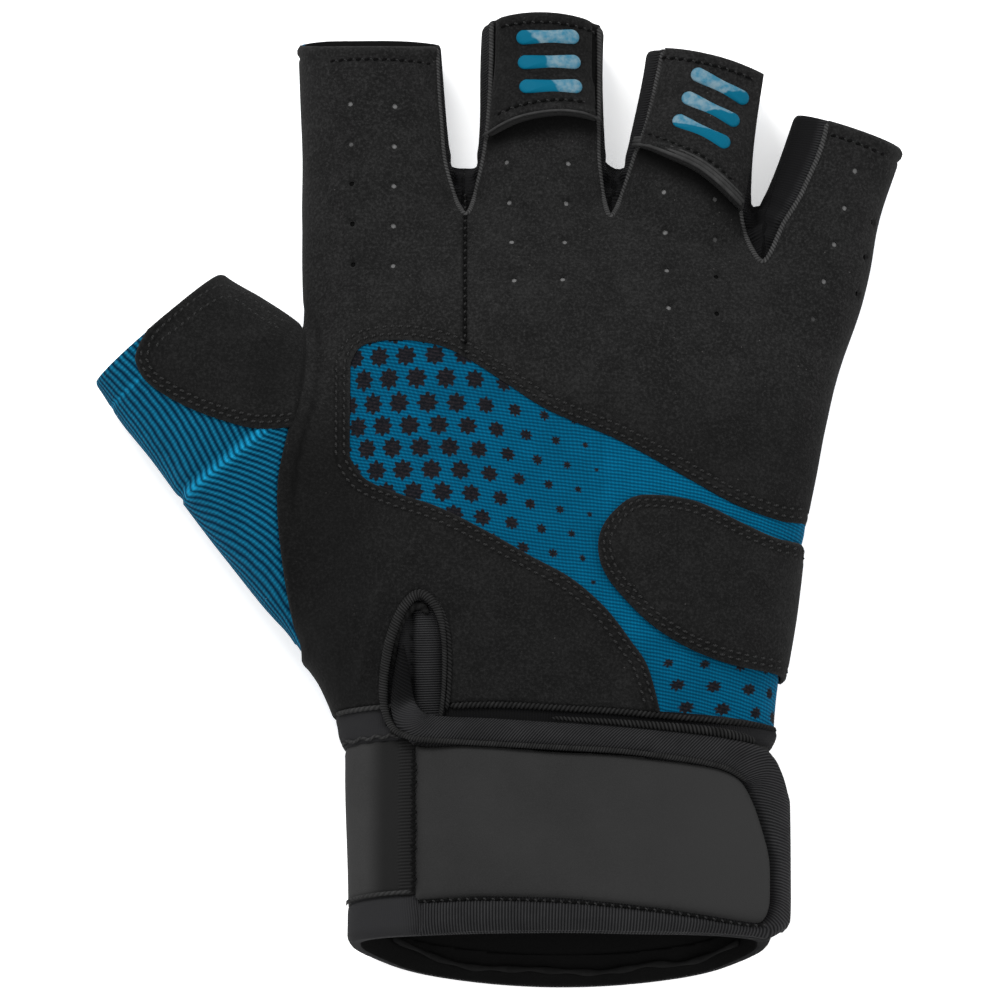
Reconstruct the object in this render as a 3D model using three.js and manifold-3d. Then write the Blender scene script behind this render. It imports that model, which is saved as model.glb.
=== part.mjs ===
import * as THREE from 'three';
import { mergeVertices } from 'three/addons/utils/BufferGeometryUtils.js';
import Module from 'manifold-3d';

// A half-finger training glove for the left hand, lying on its back with the palm up.
// Millimetres. The wrist seam lies along X at y = 0, the fingers point to +Y, the thumb to -X,
// and z = 0 is the surface that the back of the glove rests on.

// Hand
const HAND_LENGTH = 92;
const PALM_WIDTH = 96;
const PALM_THICKNESS = 27;
const PALM_ROUNDNESS = 2.5;
const KNUCKLE_DROP = 8.5;
const KNUCKLE_DROP_START = 0.09;
const KNUCKLE_DROP_SPAN = 0.29;
const REST_SAG = 3;
const CLOTH = 1.6;
const BACK_SEAM_HEIGHT = 8;
const SEAM_GAP = 0.3;
const LAYER_GAP = 0.3;

// Fingers
const INDEX_LENGTH = 44.7;
const INDEX_WIDTH = 26;
const MIDDLE_LENGTH = 47.6;
const MIDDLE_WIDTH = 22.6;
const RING_LENGTH = 42.6;
const RING_WIDTH = 22.6;
const LITTLE_LENGTH = 36;
const LITTLE_WIDTH = 20.8;
const FINGER_THICKNESS = 17.5;
const FINGER_ROUNDNESS = 2.2;
const FINGER_SAG = 1;
const PERFORATION_DIAMETER = 1.3;
const PERFORATION_SIDES = 6;

// Thumb
const THUMB_LENGTH = 61;
const THUMB_WIDTH = 29;
const THUMB_THICKNESS = 21;
const THUMB_ANGLE = 41.2;
const THUMB_PATCH_THICKNESS = 1.2;

// Sewn layers on the palm side
const HEEL_PATCH_THICKNESS = 1.3;
const TAB_LENGTH = 20;
const TAB_THICKNESS = 1.5;
const TAB_LIFT = 0.6;
const TAB_EDGE_HEIGHT = 12;
const BAR_LENGTH = 11.4;
const BAR_WIDTH = 2.7;
const BAR_THICKNESS = 0.9;
const BAR_PITCH = 4.7;
const SLIT_BINDING_WIDTH = 1.5;
const SLIT_BINDING_THICKNESS = 1.6;
const GUSSET_THICKNESS = 1.2;
const GUSSET_DEPTH = 0.6;

// Wrist and strap
const CUFF_LENGTH = 41;
const CUFF_WIDTH = 77;
const CUFF_THICKNESS = 27;
const CUFF_WALL = 2.4;
const ELASTIC_LENGTH = 6;
const HEM_WIDTH = 5.6;
const HEM_THICKNESS = 3;
const MOUTH_FRONT_DROP = 2;
const MOUTH_BACK_DROP = 6;
const MOUTH_HALF_WIDTH = 0.52;
const MOUTH_CURVE = { start: 0.2, span: 0.4, power: 0.7 };
const STRAP_THICKNESS = 2.6;
const STRAP_BINDING_THICKNESS = 3.1;
const STRAP_END_HEIGHT = 12;

// Fineness of the curves
const PALM_POINTS = { upper: 14, lower: 6 };
const FINGER_POINTS = { upper: 10, lower: 6 };
const OUTLINE_STEPS = 2;
const BAR_END_STEPS = 5;

// Heights below and above every piece, between which outlines cut.
const BELOW = -1;
const ABOVE = 60;

// Sections of the hand from the wrist to the web of the fingers.
// along: share of the hand's length; left, right: shares of the palm's width; top: share of its thickness.
const PALM_SECTIONS = [
  { along: 0.0, left: -0.423, right: 0.403, top: 0.95 },
  { along: 0.07, left: -0.452, right: 0.409, top: 0.97 },
  { along: 0.14, left: -0.495, right: 0.418, top: 1.0 },
  { along: 0.24, left: -0.518, right: 0.432, top: 1.01 },
  { along: 0.4, left: -0.532, right: 0.452, top: 1.01 },
  { along: 0.55, left: -0.517, right: 0.475, top: 0.98 },
  { along: 0.65, left: -0.497, right: 0.489, top: 0.94 },
  { along: 0.76, left: -0.483, right: 0.508, top: 0.88 },
  { along: 0.87, left: -0.48, right: 0.526, top: 0.79 },
  { along: 0.95, left: -0.478, right: 0.542, top: 0.71 },
  { along: 1.0, left: -0.472, right: 0.552, top: 0.62 },
  { along: 1.06, left: -0.46, right: 0.556, top: 0.42 },
  { along: 1.13, left: -0.44, right: 0.55, top: 0.2 },
];

// Pads and hollows of the palm.
// x, y, across, along: shares of the palm's width and the hand's length; rise: share of the thickness.
const PALM_RELIEFS = [
  { x: -0.28, y: 0.3, across: 0.16, along: 0.24, rise: 0.07 },
  { x: 0.27, y: 0.28, across: 0.14, along: 0.26, rise: 0.05 },
  { x: 0.0, y: 0.45, across: 0.15, along: 0.2, rise: -0.07 },
  { x: 0.02, y: 0.8, across: 0.45, along: 0.1, rise: 0.05 },
];

// Fingers, each on its own axis. x, y: where the axis starts, as shares of the palm's width and the
// hand's length; angle: degrees turned to the little finger's side.
const FINGERS = {
  index: { x: -0.328, y: 0.85, angle: -4, length: INDEX_LENGTH, width: INDEX_WIDTH },
  middle: { x: -0.044, y: 0.87, angle: 1.2, length: MIDDLE_LENGTH, width: MIDDLE_WIDTH },
  ring: { x: 0.201, y: 0.856, angle: 9, length: RING_LENGTH, width: RING_WIDTH },
  little: { x: 0.421, y: 0.804, angle: 18, length: LITTLE_LENGTH, width: LITTLE_WIDTH },
};

// How the fingers end. rear: how much longer the back is, as a share of the height; lean: fall for each
// millimetre towards the little finger's side; bow: how far the middle stands out, as a share of the width.
const OPENINGS = {
  index: { rear: 0.29, lean: 0.07, bow: 0.01 },
  middle: { rear: 0.08, lean: 0.0, bow: 0.06 },
  ring: { rear: 0.08, lean: 0.066, bow: 0.025 },
  little: { rear: 0.1, lean: 0.0, bow: 0.0 },
};

// Sections common to the fingers. along: share of the length; width, top: shares of width and thickness.
const FINGER_SECTIONS = [
  { along: -0.45, width: 1.02, top: 0.86 },
  { along: 0.0, width: 1.13, top: 1.03 },
  { along: 0.35, width: 1.11, top: 1.04 },
  { along: 0.7, width: 1.01, top: 1.0 },
  { along: 1.0, width: 1.0, top: 1.0 },
];

// Sections of the thumb back from its opening. along: share of the length; left, right: shares of the
// width; top: share of the thickness.
const THUMB_SECTIONS = [
  { along: -0.98, left: -0.69, right: 0.3, top: 0.98 },
  { along: -0.85, left: -0.7, right: 0.48, top: 1.1 },
  { along: -0.69, left: -0.68, right: 0.62, top: 1.16 },
  { along: -0.49, left: -0.66, right: 0.67, top: 1.14 },
  { along: -0.3, left: -0.61, right: 0.634, top: 1.08 },
  { along: -0.15, left: -0.57, right: 0.56, top: 1.03 },
  { along: 0.0, left: -0.52, right: 0.48, top: 1.0 },
];

// Where the thumb's opening lies, as shares of the palm's width and the hand's length.
const THUMB_OPENING = { x: -0.756, y: 0.793 };

// Outlines seen from the palm side. Each row is one point: x as a share of the palm's width, y as a
// share of the hand's length.
const ALL_HAND = [[-1.2, -0.1], [1, -0.1], [1, 2], [-1.2, 2]];
const ABOVE_WRIST = [[-1, 0.01], [1, 0.01], [1, 1], [-1, 1]];
const INSERT_TOP = [
  [-0.398, 0.495], [-0.398, 0.661], [-0.394, 0.7], [-0.37, 0.728], [-0.304, 0.733], [-0.229, 0.718],
  [-0.173, 0.688], [-0.098, 0.635], [-0.023, 0.585], [0.108, 0.524], [0.24, 0.445], [0.324, 0.4],
  [0.408, 0.376], [0.467, 0.38], [0.62, 0.385],
];
const INSERT_BOTTOM = [
  [0.19, -0.05], [0.161, 0.068], [0.127, 0.124], [0.08, 0.188], [0.015, 0.248], [-0.06, 0.292],
  [-0.135, 0.335], [-0.229, 0.385], [-0.304, 0.414], [-0.368, 0.448], [-0.398, 0.495],
];
const HEEL_PATCH = [
  [0.62, 0.335], [0.474, 0.338], [0.408, 0.338], [0.343, 0.36], [0.258, 0.398], [0.183, 0.412],
  [0.127, 0.407], [0.082, 0.364], [0.066, 0.314], [0.078, 0.26], [0.118, 0.204], [0.174, 0.148],
  [0.249, 0.104], [0.333, 0.08], [0.427, 0.076], [0.62, 0.074],
];
const SLIT = [
  [-0.336, -0.04], [-0.342, 0.056], [-0.328, 0.136], [-0.304, 0.196], [-0.269, 0.228], [-0.239, 0.212],
  [-0.218, 0.174], [-0.208, 0.126], [-0.208, 0.068], [-0.22, -0.04],
];
const INDEX_SEAM = [[-0.182, 1.05], [-0.182, 1.0], [-0.182, 0.72], [-0.182, 0.6]];
const THUMB_SEAM = [
  [-0.6, 1.0], [-0.505, 0.84], [-0.474, 0.787], [-0.478, 0.7], [-0.487, 0.62], [-0.505, 0.54],
  [-0.519, 0.46], [-0.521, 0.38], [-0.518, 0.28], [-0.507, 0.187], [-0.49, 0.125], [-0.52, 0.08],
];
const THUMB_PATCH = [
  [-0.62, 0.95], [-0.84, 0.78], [-0.805, 0.765], [-0.795, 0.72], [-0.782, 0.68], [-0.745, 0.623],
  [-0.68, 0.588], [-0.57, 0.552], [-0.5, 0.563], [-0.49, 0.59], [-0.488, 0.7], [-0.494, 0.77], [-0.53, 0.85],
];

// Side gussets of the fingers: the seam of the finger on the left, the crotch, the seam on the right.
const FOURCHETTES = {
  index_middle: [
    [-0.236, 1.45], [-0.234, 1.3], [-0.228, 1.2], [-0.218, 1.1], [-0.182, 1.0],
    [-0.158, 1.07], [-0.142, 1.16], [-0.134, 1.27], [-0.131, 1.45],
  ],
  middle_ring: [
    [0.07, 1.45], [0.071, 1.3], [0.069, 1.18], [0.072, 1.09], [0.09, 0.995],
    [0.115, 1.05], [0.14, 1.13], [0.165, 1.2], [0.215, 1.45],
  ],
  ring_little: [
    [0.395, 1.4], [0.37, 1.26], [0.35, 1.16], [0.336, 1.06], [0.342, 0.98], [0.378, 0.903],
    [0.418, 0.98], [0.444, 1.025], [0.46, 1.06], [0.488, 1.13], [0.504, 1.2], [0.53, 1.35],
  ],
};

// Rows of air holes. x, y: first hole; dx, dy: step, all as shares of palm width and hand length.
const PERFORATIONS = [
  { x: -0.399, y: 1.222, dx: 0.0015, dy: -0.0815, count: 5 },
  { x: -0.314, y: 1.217, dx: -0.001, dy: -0.0815, count: 5 },
  { x: -0.105, y: 1.105, dx: 0.005, dy: -0.084, count: 4 },
  { x: 0.013, y: 1.101, dx: -0.004, dy: -0.082, count: 4 },
  { x: 0.191, y: 1.042, dx: 0.003, dy: -0.082, count: 4 },
  { x: 0.289, y: 1.028, dx: 0.0005, dy: -0.08, count: 4 },
  { x: 0.553, y: 1.087, dx: -0.02, dy: -0.075, count: 5 },
  { x: 0.586, y: 0.995, dx: -0.015, dy: -0.073, count: 3 },
];

// Pull tabs over the openings of the two middle fingers. edge: the free lower edge, side as a share of
// the finger's width and reach as a share of the tab's length; bars: place and turn of the middle bar and
// the sideways step from bar to bar; clear: the gussets that the tab leaves bare.
const TABS = {
  middle: {
    edge: [[-0.6, 1.08], [-0.42, 1.05], [-0.17, 0.945], [0.16, 0.88], [0.48, 0.89], [0.6, 0.9]],
    bars: { side: 0.05, reach: 0.4, shift: -0.37, turn: 2 },
    clear: ['index_middle', 'middle_ring'],
  },
  ring: {
    edge: [[-0.6, 0.89], [-0.42, 0.905], [-0.17, 0.99], [0.11, 1.09], [0.44, 1.295], [0.6, 1.39]],
    bars: { side: 0.11, reach: 0.485, shift: 0.98, turn: -17 },
    clear: ['middle_ring'],
  },
};

// Sections of the cuff down from the wrist seam. along: share of the cuff's length; left, right: shares
// of its width; top: share of its thickness.
const CUFF_SECTIONS = [
  { along: 0.0, left: -0.525, right: 0.5, top: 0.95 },
  { along: 0.08, left: -0.519, right: 0.499, top: 0.95 },
  { along: 0.15, left: -0.508, right: 0.485, top: 0.97 },
  { along: 0.3, left: -0.506, right: 0.485, top: 0.99 },
  { along: 0.6, left: -0.502, right: 0.49, top: 1.0 },
  { along: 0.86, left: -0.5, right: 0.49, top: 1.0 },
  { along: 1.0, left: -0.5, right: 0.485, top: 0.99 },
];

// Strap seen from the palm side: x as a share of the cuff's width, y as a share of its length.
const STRAP_PANEL = [
  [-0.342, -0.2], [-0.146, -0.222], [-0.005, -0.246], [0.155, -0.254], [0.313, -0.285], [0.392, -0.317],
  [0.447, -0.385], [0.471, -0.498], [0.488, -0.649], [0.49, -0.8], [0.482, -0.9], [0.455, -0.94],
  [0.313, -0.925], [0.155, -0.905], [-0.052, -0.895], [-0.342, -0.9],
];
const STRAP_TOP = [
  [-0.4, 0.19], [-0.403, 0.02], [-0.394, -0.075], [-0.369, -0.135], [-0.33, -0.185], [-0.15, -0.2],
  [0.2, -0.24],
];
const STRAP_START = [[-0.342, -0.9], [-0.25, -0.9]];
const STRAP_TOP_EDGE = [
  [-0.35, 0.19], [-0.352, 0.04], [-0.34, -0.015], [-0.3, -0.055], [-0.15, -0.075], [0.0, -0.09],
  [0.155, -0.113], [0.313, -0.137], [0.447, -0.178], [0.49, -0.24], [0.518, -0.35], [0.56, -0.5],
  [0.56, -0.75], [0.527, -0.9], [0.505, -0.97], [0.46, -1.035], [0.39, -1.06], [0.25, -1.05], [0.1, -1.03],
  [-0.342, -1.03],
];

// Colours
const SUEDE = { color: 0x232324, roughness: 0.95, metalness: 0 };
const KNIT = { color: 0x08608c, roughness: 0.8, metalness: 0 };
const NEOPRENE = { color: 0x383838, roughness: 0.75, metalness: 0 };
const STRAP_FABRIC = { color: 0x3a3a3a, roughness: 0.7, metalness: 0 };
const BINDING = { color: 0x282828, roughness: 0.85, metalness: 0 };
const SILICONE = { color: 0x0a7899, roughness: 0.4, metalness: 0 };

const wasm = await Module();
wasm.setup();

// Solids and meshes

function solidFrom(geometry) {
  const bare = geometry.clone();
  bare.deleteAttribute('normal');
  bare.deleteAttribute('uv');
  const merged = mergeVertices(bare, 1e-4);
  return new wasm.Manifold(new wasm.Mesh({
    numProp: 3,
    vertProperties: new Float32Array(merged.attributes.position.array),
    triVerts: new Uint32Array(merged.index.array),
  }));
}

function geometryFrom(solid) {
  const mesh = solid.getMesh();
  const geometry = new THREE.BufferGeometry();
  geometry.setAttribute('position', new THREE.BufferAttribute(mesh.vertProperties, 3));
  geometry.setIndex(new THREE.BufferAttribute(mesh.triVerts, 1));
  geometry.computeVertexNormals();
  return geometry;
}

// A closed solid through rings that hold the same number of points, with flat ends.
function loft(rings) {
  const count = rings[0].length;
  const points = rings.flat();
  const first = centreOf(rings[0]);
  const last = centreOf(rings[rings.length - 1]);
  const firstIndex = points.push(first) - 1;
  const lastIndex = points.push(last) - 1;
  const faces = [];
  for (let ring = 0; ring < rings.length - 1; ring += 1) {
    for (let i = 0; i < count; i += 1) {
      const a = ring * count + i;
      const b = ring * count + ((i + 1) % count);
      faces.push(a, b, b + count, a, b + count, a + count);
    }
  }
  const top = (rings.length - 1) * count;
  for (let i = 0; i < count; i += 1) {
    const next = (i + 1) % count;
    faces.push(firstIndex, next, i);
    faces.push(lastIndex, top + i, top + next);
  }
  const geometry = new THREE.BufferGeometry().setFromPoints(points);
  geometry.setIndex(faces);
  return solidFrom(geometry);
}

function centreOf(ring) {
  const sum = ring.reduce((total, point) => total.add(point), new THREE.Vector3());
  return sum.divideScalar(ring.length);
}

// An upright prism over an outline in the XY plane.
function prism(outline, low, high) {
  const shape = new THREE.Shape(outline);
  const geometry = new THREE.ExtrudeGeometry(shape, { depth: high - low, bevelEnabled: false });
  geometry.translate(0, 0, low);
  return solidFrom(geometry);
}

// The outline moved outwards by a distance, corner by corner.
function widened(outline, distance) {
  const out = THREE.ShapeUtils.isClockWise(outline) ? -1 : 1;
  return outline.map((point, i) => {
    const before = point.clone().sub(outline.at(i - 1)).normalize();
    const after = outline[(i + 1) % outline.length].clone().sub(point).normalize();
    const normal = new THREE.Vector2(before.y + after.y, -before.x - after.x).normalize();
    const spread = Math.max(0.5, normal.dot(new THREE.Vector2(after.y, -after.x)));
    return point.clone().addScaledVector(normal, out * distance / spread);
  });
}

// A smooth line through rows of shares.
function smooth(rows, unitX, unitY) {
  const points = rows.map(([x, y]) => new THREE.Vector2(x * unitX, y * unitY));
  return new THREE.SplineCurve(points).getPoints((points.length - 1) * OUTLINE_STEPS);
}

function onHand(rows) {
  return smooth(rows, PALM_WIDTH, HAND_LENGTH);
}

function handPoint(x, y) {
  return new THREE.Vector2(x * PALM_WIDTH, y * HAND_LENGTH);
}

function corners(rows) {
  return rows.map(([x, y]) => handPoint(x, y));
}

function union(solids) {
  return solids.reduce((total, solid) => total.add(solid));
}

// The main body of a cut, without the dust that grazing surfaces leave.
function mainBody(solid) {
  return solid.decompose().sort((a, b) => b.volume() - a.volume())[0];
}

// Sections

function rounded(value, roundness) {
  return Math.sign(value) * Math.abs(value) ** (2 / roundness);
}

// One cross-section: across and up for each point, pressed flat at the floor.
function section({ left, right, bottom, top, grow, roundness, points }) {
  const halfWidth = (right - left) / 2 + grow;
  const halfHeight = (top - bottom) / 2 + grow;
  const floor = Math.max(0, -grow);
  return Array.from({ length: points.upper + points.lower }, (_, i) => {
    const isUpper = i < points.upper;
    const angle = Math.PI * (isUpper ? i / points.upper : 1 + (i - points.upper) / points.lower);
    const up = (top + bottom) / 2 + halfHeight * rounded(Math.sin(angle), roundness);
    return {
      across: (left + right) / 2 + halfWidth * rounded(Math.cos(angle), roundness),
      up: Math.max(floor, up),
      upper: Math.max(0, Math.sin(angle)),
    };
  });
}

function reliefAt(x, y) {
  return PALM_RELIEFS.reduce((sum, relief) => {
    const dx = (x / PALM_WIDTH - relief.x) / relief.across;
    const dy = (y / HAND_LENGTH - relief.y) / relief.along;
    return sum + relief.rise * PALM_THICKNESS * Math.exp(-dx * dx - dy * dy);
  }, 0);
}

// The hand's rings lean back towards the little finger, whose crotch lies lower.
function palmBody(grow, over) {
  const dropStart = KNUCKLE_DROP_START * PALM_WIDTH;
  const dropSpan = KNUCKLE_DROP_SPAN * PALM_WIDTH;
  const rings = PALM_SECTIONS.map((row, i) => {
    const isFirst = i === 0;
    const isLast = i === PALM_SECTIONS.length - 1;
    const start = row.along * HAND_LENGTH - (isFirst ? over : 0) + (isLast ? grow : 0);
    const ring = section({
      left: row.left * PALM_WIDTH,
      right: row.right * PALM_WIDTH,
      bottom: -REST_SAG,
      top: row.top * PALM_THICKNESS,
      grow,
      roundness: PALM_ROUNDNESS,
      points: PALM_POINTS,
    });
    return ring.map(({ across, up, upper }) => {
      const drop = KNUCKLE_DROP * row.along * Math.max(0, (across - dropStart) / dropSpan);
      const y = start - drop;
      const z = up + upper * reliefAt(across, y);
      return new THREE.Vector3(across, y, z);
    });
  });
  return loft(rings.reverse());
}

function fingerFrame(finger) {
  const turn = THREE.MathUtils.degToRad(finger.angle);
  return {
    start: handPoint(finger.x, finger.y),
    along: new THREE.Vector2(Math.sin(turn), Math.cos(turn)),
    side: new THREE.Vector2(Math.cos(turn), -Math.sin(turn)),
  };
}

// A point of a finger in the XY plane from its distance along the axis and to the side.
function onFinger(finger, along, side) {
  const frame = fingerFrame(finger);
  return frame.start.clone().addScaledVector(frame.along, along).addScaledVector(frame.side, side);
}

function fingerBody(name, grow, over) {
  const finger = FINGERS[name];
  const { rear, lean, bow } = OPENINGS[name];
  const rings = FINGER_SECTIONS.map((row, i) => {
    const isLast = i === FINGER_SECTIONS.length - 1;
    const half = (row.width * finger.width) / 2;
    const height = row.top * FINGER_THICKNESS;
    const ring = section({
      left: -half,
      right: half,
      bottom: -FINGER_SAG,
      top: height,
      grow,
      roundness: FINGER_ROUNDNESS,
      points: FINGER_POINTS,
    });
    return ring.map(({ across, up }) => {
      const back = rear * Math.max(0, height - up);
      const arc = bow * finger.width * (1 - (across / half) ** 2);
      const end = isLast ? back + arc - lean * across + over : 0;
      const place = onFinger(finger, row.along * finger.length + end, across);
      return new THREE.Vector3(place.x, place.y, up);
    });
  });
  return loft(rings.reverse());
}

function thumbBody(grow, over) {
  const turn = THREE.MathUtils.degToRad(THUMB_ANGLE);
  const along = new THREE.Vector2(-Math.sin(turn), Math.cos(turn));
  const side = new THREE.Vector2(Math.cos(turn), Math.sin(turn));
  const opening = handPoint(THUMB_OPENING.x, THUMB_OPENING.y);
  const rings = THUMB_SECTIONS.map((row, i) => {
    const isLast = i === THUMB_SECTIONS.length - 1;
    const reach = row.along * THUMB_LENGTH + (isLast ? over : 0);
    const ring = section({
      left: row.left * THUMB_WIDTH,
      right: row.right * THUMB_WIDTH,
      bottom: -FINGER_SAG,
      top: row.top * THUMB_THICKNESS,
      grow,
      roundness: FINGER_ROUNDNESS,
      points: FINGER_POINTS,
    });
    return ring.map(({ across, up }) => {
      const place = opening.clone().addScaledVector(along, reach).addScaledVector(side, across);
      return new THREE.Vector3(place.x, place.y, up);
    });
  });
  return loft(rings.reverse());
}

// The whole hand, grown outwards or inwards, and run past its openings.
function handBody(grow, over) {
  const fingers = Object.keys(FINGERS).map((name) => fingerBody(name, grow, over));
  return union([palmBody(grow, over), thumbBody(grow, over), ...fingers]);
}

// A stretch of the cuff between two distances down from the wrist seam, each edge lobed by a share.
function cuffBody(grow, from, to) {
  const stops = CUFF_SECTIONS.map((row) => row.along * CUFF_LENGTH);
  const between = stops.filter((stop) => stop > from && stop < to);
  const rings = [from, ...between, to].map((stop) => {
    const row = cuffRow(stop / CUFF_LENGTH);
    const ring = section({
      left: row.left * CUFF_WIDTH,
      right: row.right * CUFF_WIDTH,
      bottom: -REST_SAG,
      top: row.top * CUFF_THICKNESS,
      grow,
      roundness: PALM_ROUNDNESS,
      points: PALM_POINTS,
    });
    const lobe = THREE.MathUtils.clamp((stop / CUFF_LENGTH - MOUTH_CURVE.start) / MOUTH_CURVE.span, 0, 1);
    return ring.map(({ across, up }) => {
      const height = THREE.MathUtils.clamp(up / (row.top * CUFF_THICKNESS), 0, 1);
      const front = MOUTH_FRONT_DROP * Math.sqrt(Math.max(0, 2 * height - 1));
      const back = MOUTH_BACK_DROP * Math.max(0, 1 - 2 * height) ** MOUTH_CURVE.power * mouthArc(across);
      return new THREE.Vector3(across, -stop - lobe * (front + back), up);
    });
  });
  return loft(rings);
}

function mouthArc(across) {
  return Math.max(0, 1 - (across / (MOUTH_HALF_WIDTH * CUFF_WIDTH)) ** 2);
}

function cuffRow(share) {
  const inside = THREE.MathUtils.clamp(share, 0, 1);
  const next = Math.max(1, CUFF_SECTIONS.findIndex((row) => row.along >= inside));
  const [low, high] = [CUFF_SECTIONS[next - 1], CUFF_SECTIONS[next]];
  const t = (inside - low.along) / (high.along - low.along);
  const mix = (key) => THREE.MathUtils.lerp(low[key], high[key], t);
  return { left: mix('left'), right: mix('right'), top: mix('top') };
}

// A wall of the cuff between two distances, open at both ends.
function cuffWall(from, to, outer, inner) {
  return cuffBody(outer, from, to).subtract(cuffBody(inner, from - 1, to + 1));
}

// The whole glove from fingertips to mouth, grown outwards: what sewn-on layers lie on.
function gloveBody(grow, over) {
  return handBody(grow, over).add(cuffBody(grow, -2, CUFF_LENGTH + over));
}

// A layer of cloth over the glove inside an outline, above a height, that may reach past the mouth.
function layer(outline, lift, thickness, low, reach = 0) {
  const outside = gloveBody(lift + thickness, reach);
  const inside = gloveBody(lift, reach + 1);
  return outside.subtract(inside).intersect(prism(outline, low, ABOVE));
}

// Hand panels

const handShell = handBody(0, 0).subtract(handBody(-CLOTH, 3));
const everywhere = corners(ALL_HAND);
const aboveWrist = corners(ABOVE_WRIST);
const seamLevel = BACK_SEAM_HEIGHT + SEAM_GAP;
const thumbOutline = [...onHand(THUMB_SEAM), handPoint(-1.2, 0), handPoint(-1.2, 1.2)];
const insertOutline = [...onHand(INSERT_TOP), handPoint(0.62, -0.05), ...onHand(INSERT_BOTTOM).slice(0, -1)];
const slit = slitOutlines();

function slitOutlines() {
  const outer = onHand(SLIT);
  return { outer, inner: widened(outer, -SLIT_BINDING_WIDTH) };
}

function fourchetteOutline(name) {
  return onHand(FOURCHETTES[name]);
}

function frontShell() {
  const apart = [thumbOutline, ...Object.keys(FOURCHETTES).map(fourchetteOutline)];
  const front = handShell.intersect(prism(everywhere, seamLevel, ABOVE));
  const seams = apart.map((outline) => prism(widened(outline, SEAM_GAP), BELOW, ABOVE));
  return seams.reduce((solid, seam) => solid.subtract(seam), front);
}

function perforations() {
  const radius = PERFORATION_DIAMETER / 2;
  const holes = PERFORATIONS.flatMap((row) => Array.from({ length: row.count }, (_, i) => {
    const hole = new THREE.CylinderGeometry(radius, radius, ABOVE, PERFORATION_SIDES);
    hole.rotateX(Math.PI / 2);
    const place = handPoint(row.x + i * row.dx, row.y + i * row.dy);
    hole.translate(place.x, place.y, seamLevel + ABOVE / 2);
    return solidFrom(hole);
  }));
  return union(holes);
}

const front = frontShell();
const indexSide = [handPoint(-0.62, 2), handPoint(-0.182, 2), ...onHand(INDEX_SEAM), handPoint(-0.182, 0.6),
  handPoint(0.3, 0.3), handPoint(0.3, -0.1), handPoint(-0.62, -0.1)];
const insertSeam = prism(widened(insertOutline, SEAM_GAP), BELOW, ABOVE);
const frontOfInsert = front.subtract(insertSeam).subtract(perforations());

function indexThenarPanel() {
  return frontOfInsert.intersect(prism(indexSide, BELOW, ABOVE)).subtract(prism(slit.inner, BELOW, ABOVE));
}

function upperPalmPanel() {
  return frontOfInsert.subtract(prism(widened(indexSide, SEAM_GAP), BELOW, ABOVE));
}

function palmKnitInsert() {
  return front.intersect(prism(insertOutline, BELOW, ABOVE));
}

function backPanel() {
  const back = handShell.intersect(prism(everywhere, BELOW, BACK_SEAM_HEIGHT));
  return back.subtract(prism(widened(thumbOutline, SEAM_GAP), BELOW, ABOVE));
}

function thumbShell() {
  return handShell.intersect(prism(thumbOutline, BELOW, ABOVE));
}

function fourchette(name) {
  return handShell.intersect(prism(fourchetteOutline(name), seamLevel, ABOVE));
}

// Layers sewn on the hand

function heelPatch() {
  return layer(onHand(HEEL_PATCH), LAYER_GAP, HEEL_PATCH_THICKNESS, seamLevel);
}

function thumbPatch() {
  const shape = layer(onHand(THUMB_PATCH), LAYER_GAP, THUMB_PATCH_THICKNESS, seamLevel);
  return shape.intersect(prism(thumbOutline, BELOW, ABOVE));
}

function tabOutline(name) {
  const finger = FINGERS[name];
  const past = finger.length + TAB_LENGTH;
  const free = smooth(TABS[name].edge, finger.width, TAB_LENGTH);
  const edge = free.map(({ x, y }) => onFinger(finger, finger.length - y, x));
  return [onFinger(finger, past, free.at(-1).x), onFinger(finger, past, free[0].x), ...edge];
}

function tab(name) {
  const sheet = layer(tabOutline(name), TAB_LIFT, TAB_THICKNESS, TAB_EDGE_HEIGHT);
  const gussets = TABS[name].clear.map(fourchetteOutline);
  return gussets.reduce((solid, outline) => solid.subtract(prism(outline, BELOW, ABOVE)), sheet);
}

function barOutline(name, order) {
  const finger = FINGERS[name];
  const { side, reach, shift, turn } = TABS[name].bars;
  const centreSide = side * finger.width - shift * (order - 1);
  const centreAlong = finger.length - reach * TAB_LENGTH - (order - 1) * BAR_PITCH;
  const radius = BAR_WIDTH / 2;
  const straight = BAR_LENGTH / 2 - radius;
  const angle = THREE.MathUtils.degToRad(turn);
  const points = [];
  for (const end of [1, -1]) {
    for (let step = 0; step <= BAR_END_STEPS; step += 1) {
      const around = (step / BAR_END_STEPS - 0.5) * Math.PI + (end < 0 ? Math.PI : 0);
      const x = end * straight + radius * Math.cos(around);
      const y = radius * Math.sin(around);
      const turnedX = x * Math.cos(angle) - y * Math.sin(angle);
      const turnedY = x * Math.sin(angle) + y * Math.cos(angle);
      points.push(onFinger(finger, centreAlong + turnedY, centreSide + turnedX));
    }
  }
  return points;
}

function gripBar(name, order) {
  return layer(barOutline(name, order), TAB_LIFT + TAB_THICKNESS + LAYER_GAP, BAR_THICKNESS, seamLevel);
}

function slitBinding() {
  const strip = layer(slit.outer, LAYER_GAP, SLIT_BINDING_THICKNESS, seamLevel);
  const ring = strip.subtract(prism(slit.inner, BELOW, ABOVE));
  return ring.intersect(prism(aboveWrist, BELOW, ABOVE)).subtract(strapFootprint());
}

function slitGusset() {
  const outer = handBody(-GUSSET_DEPTH, 0);
  const inner = handBody(-GUSSET_DEPTH - GUSSET_THICKNESS, 3);
  const shape = outer.subtract(inner).intersect(prism(widened(slit.inner, -SEAM_GAP), seamLevel, ABOVE));
  return shape.intersect(prism(aboveWrist, BELOW, ABOVE));
}

// Wrist, cuff and strap

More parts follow.
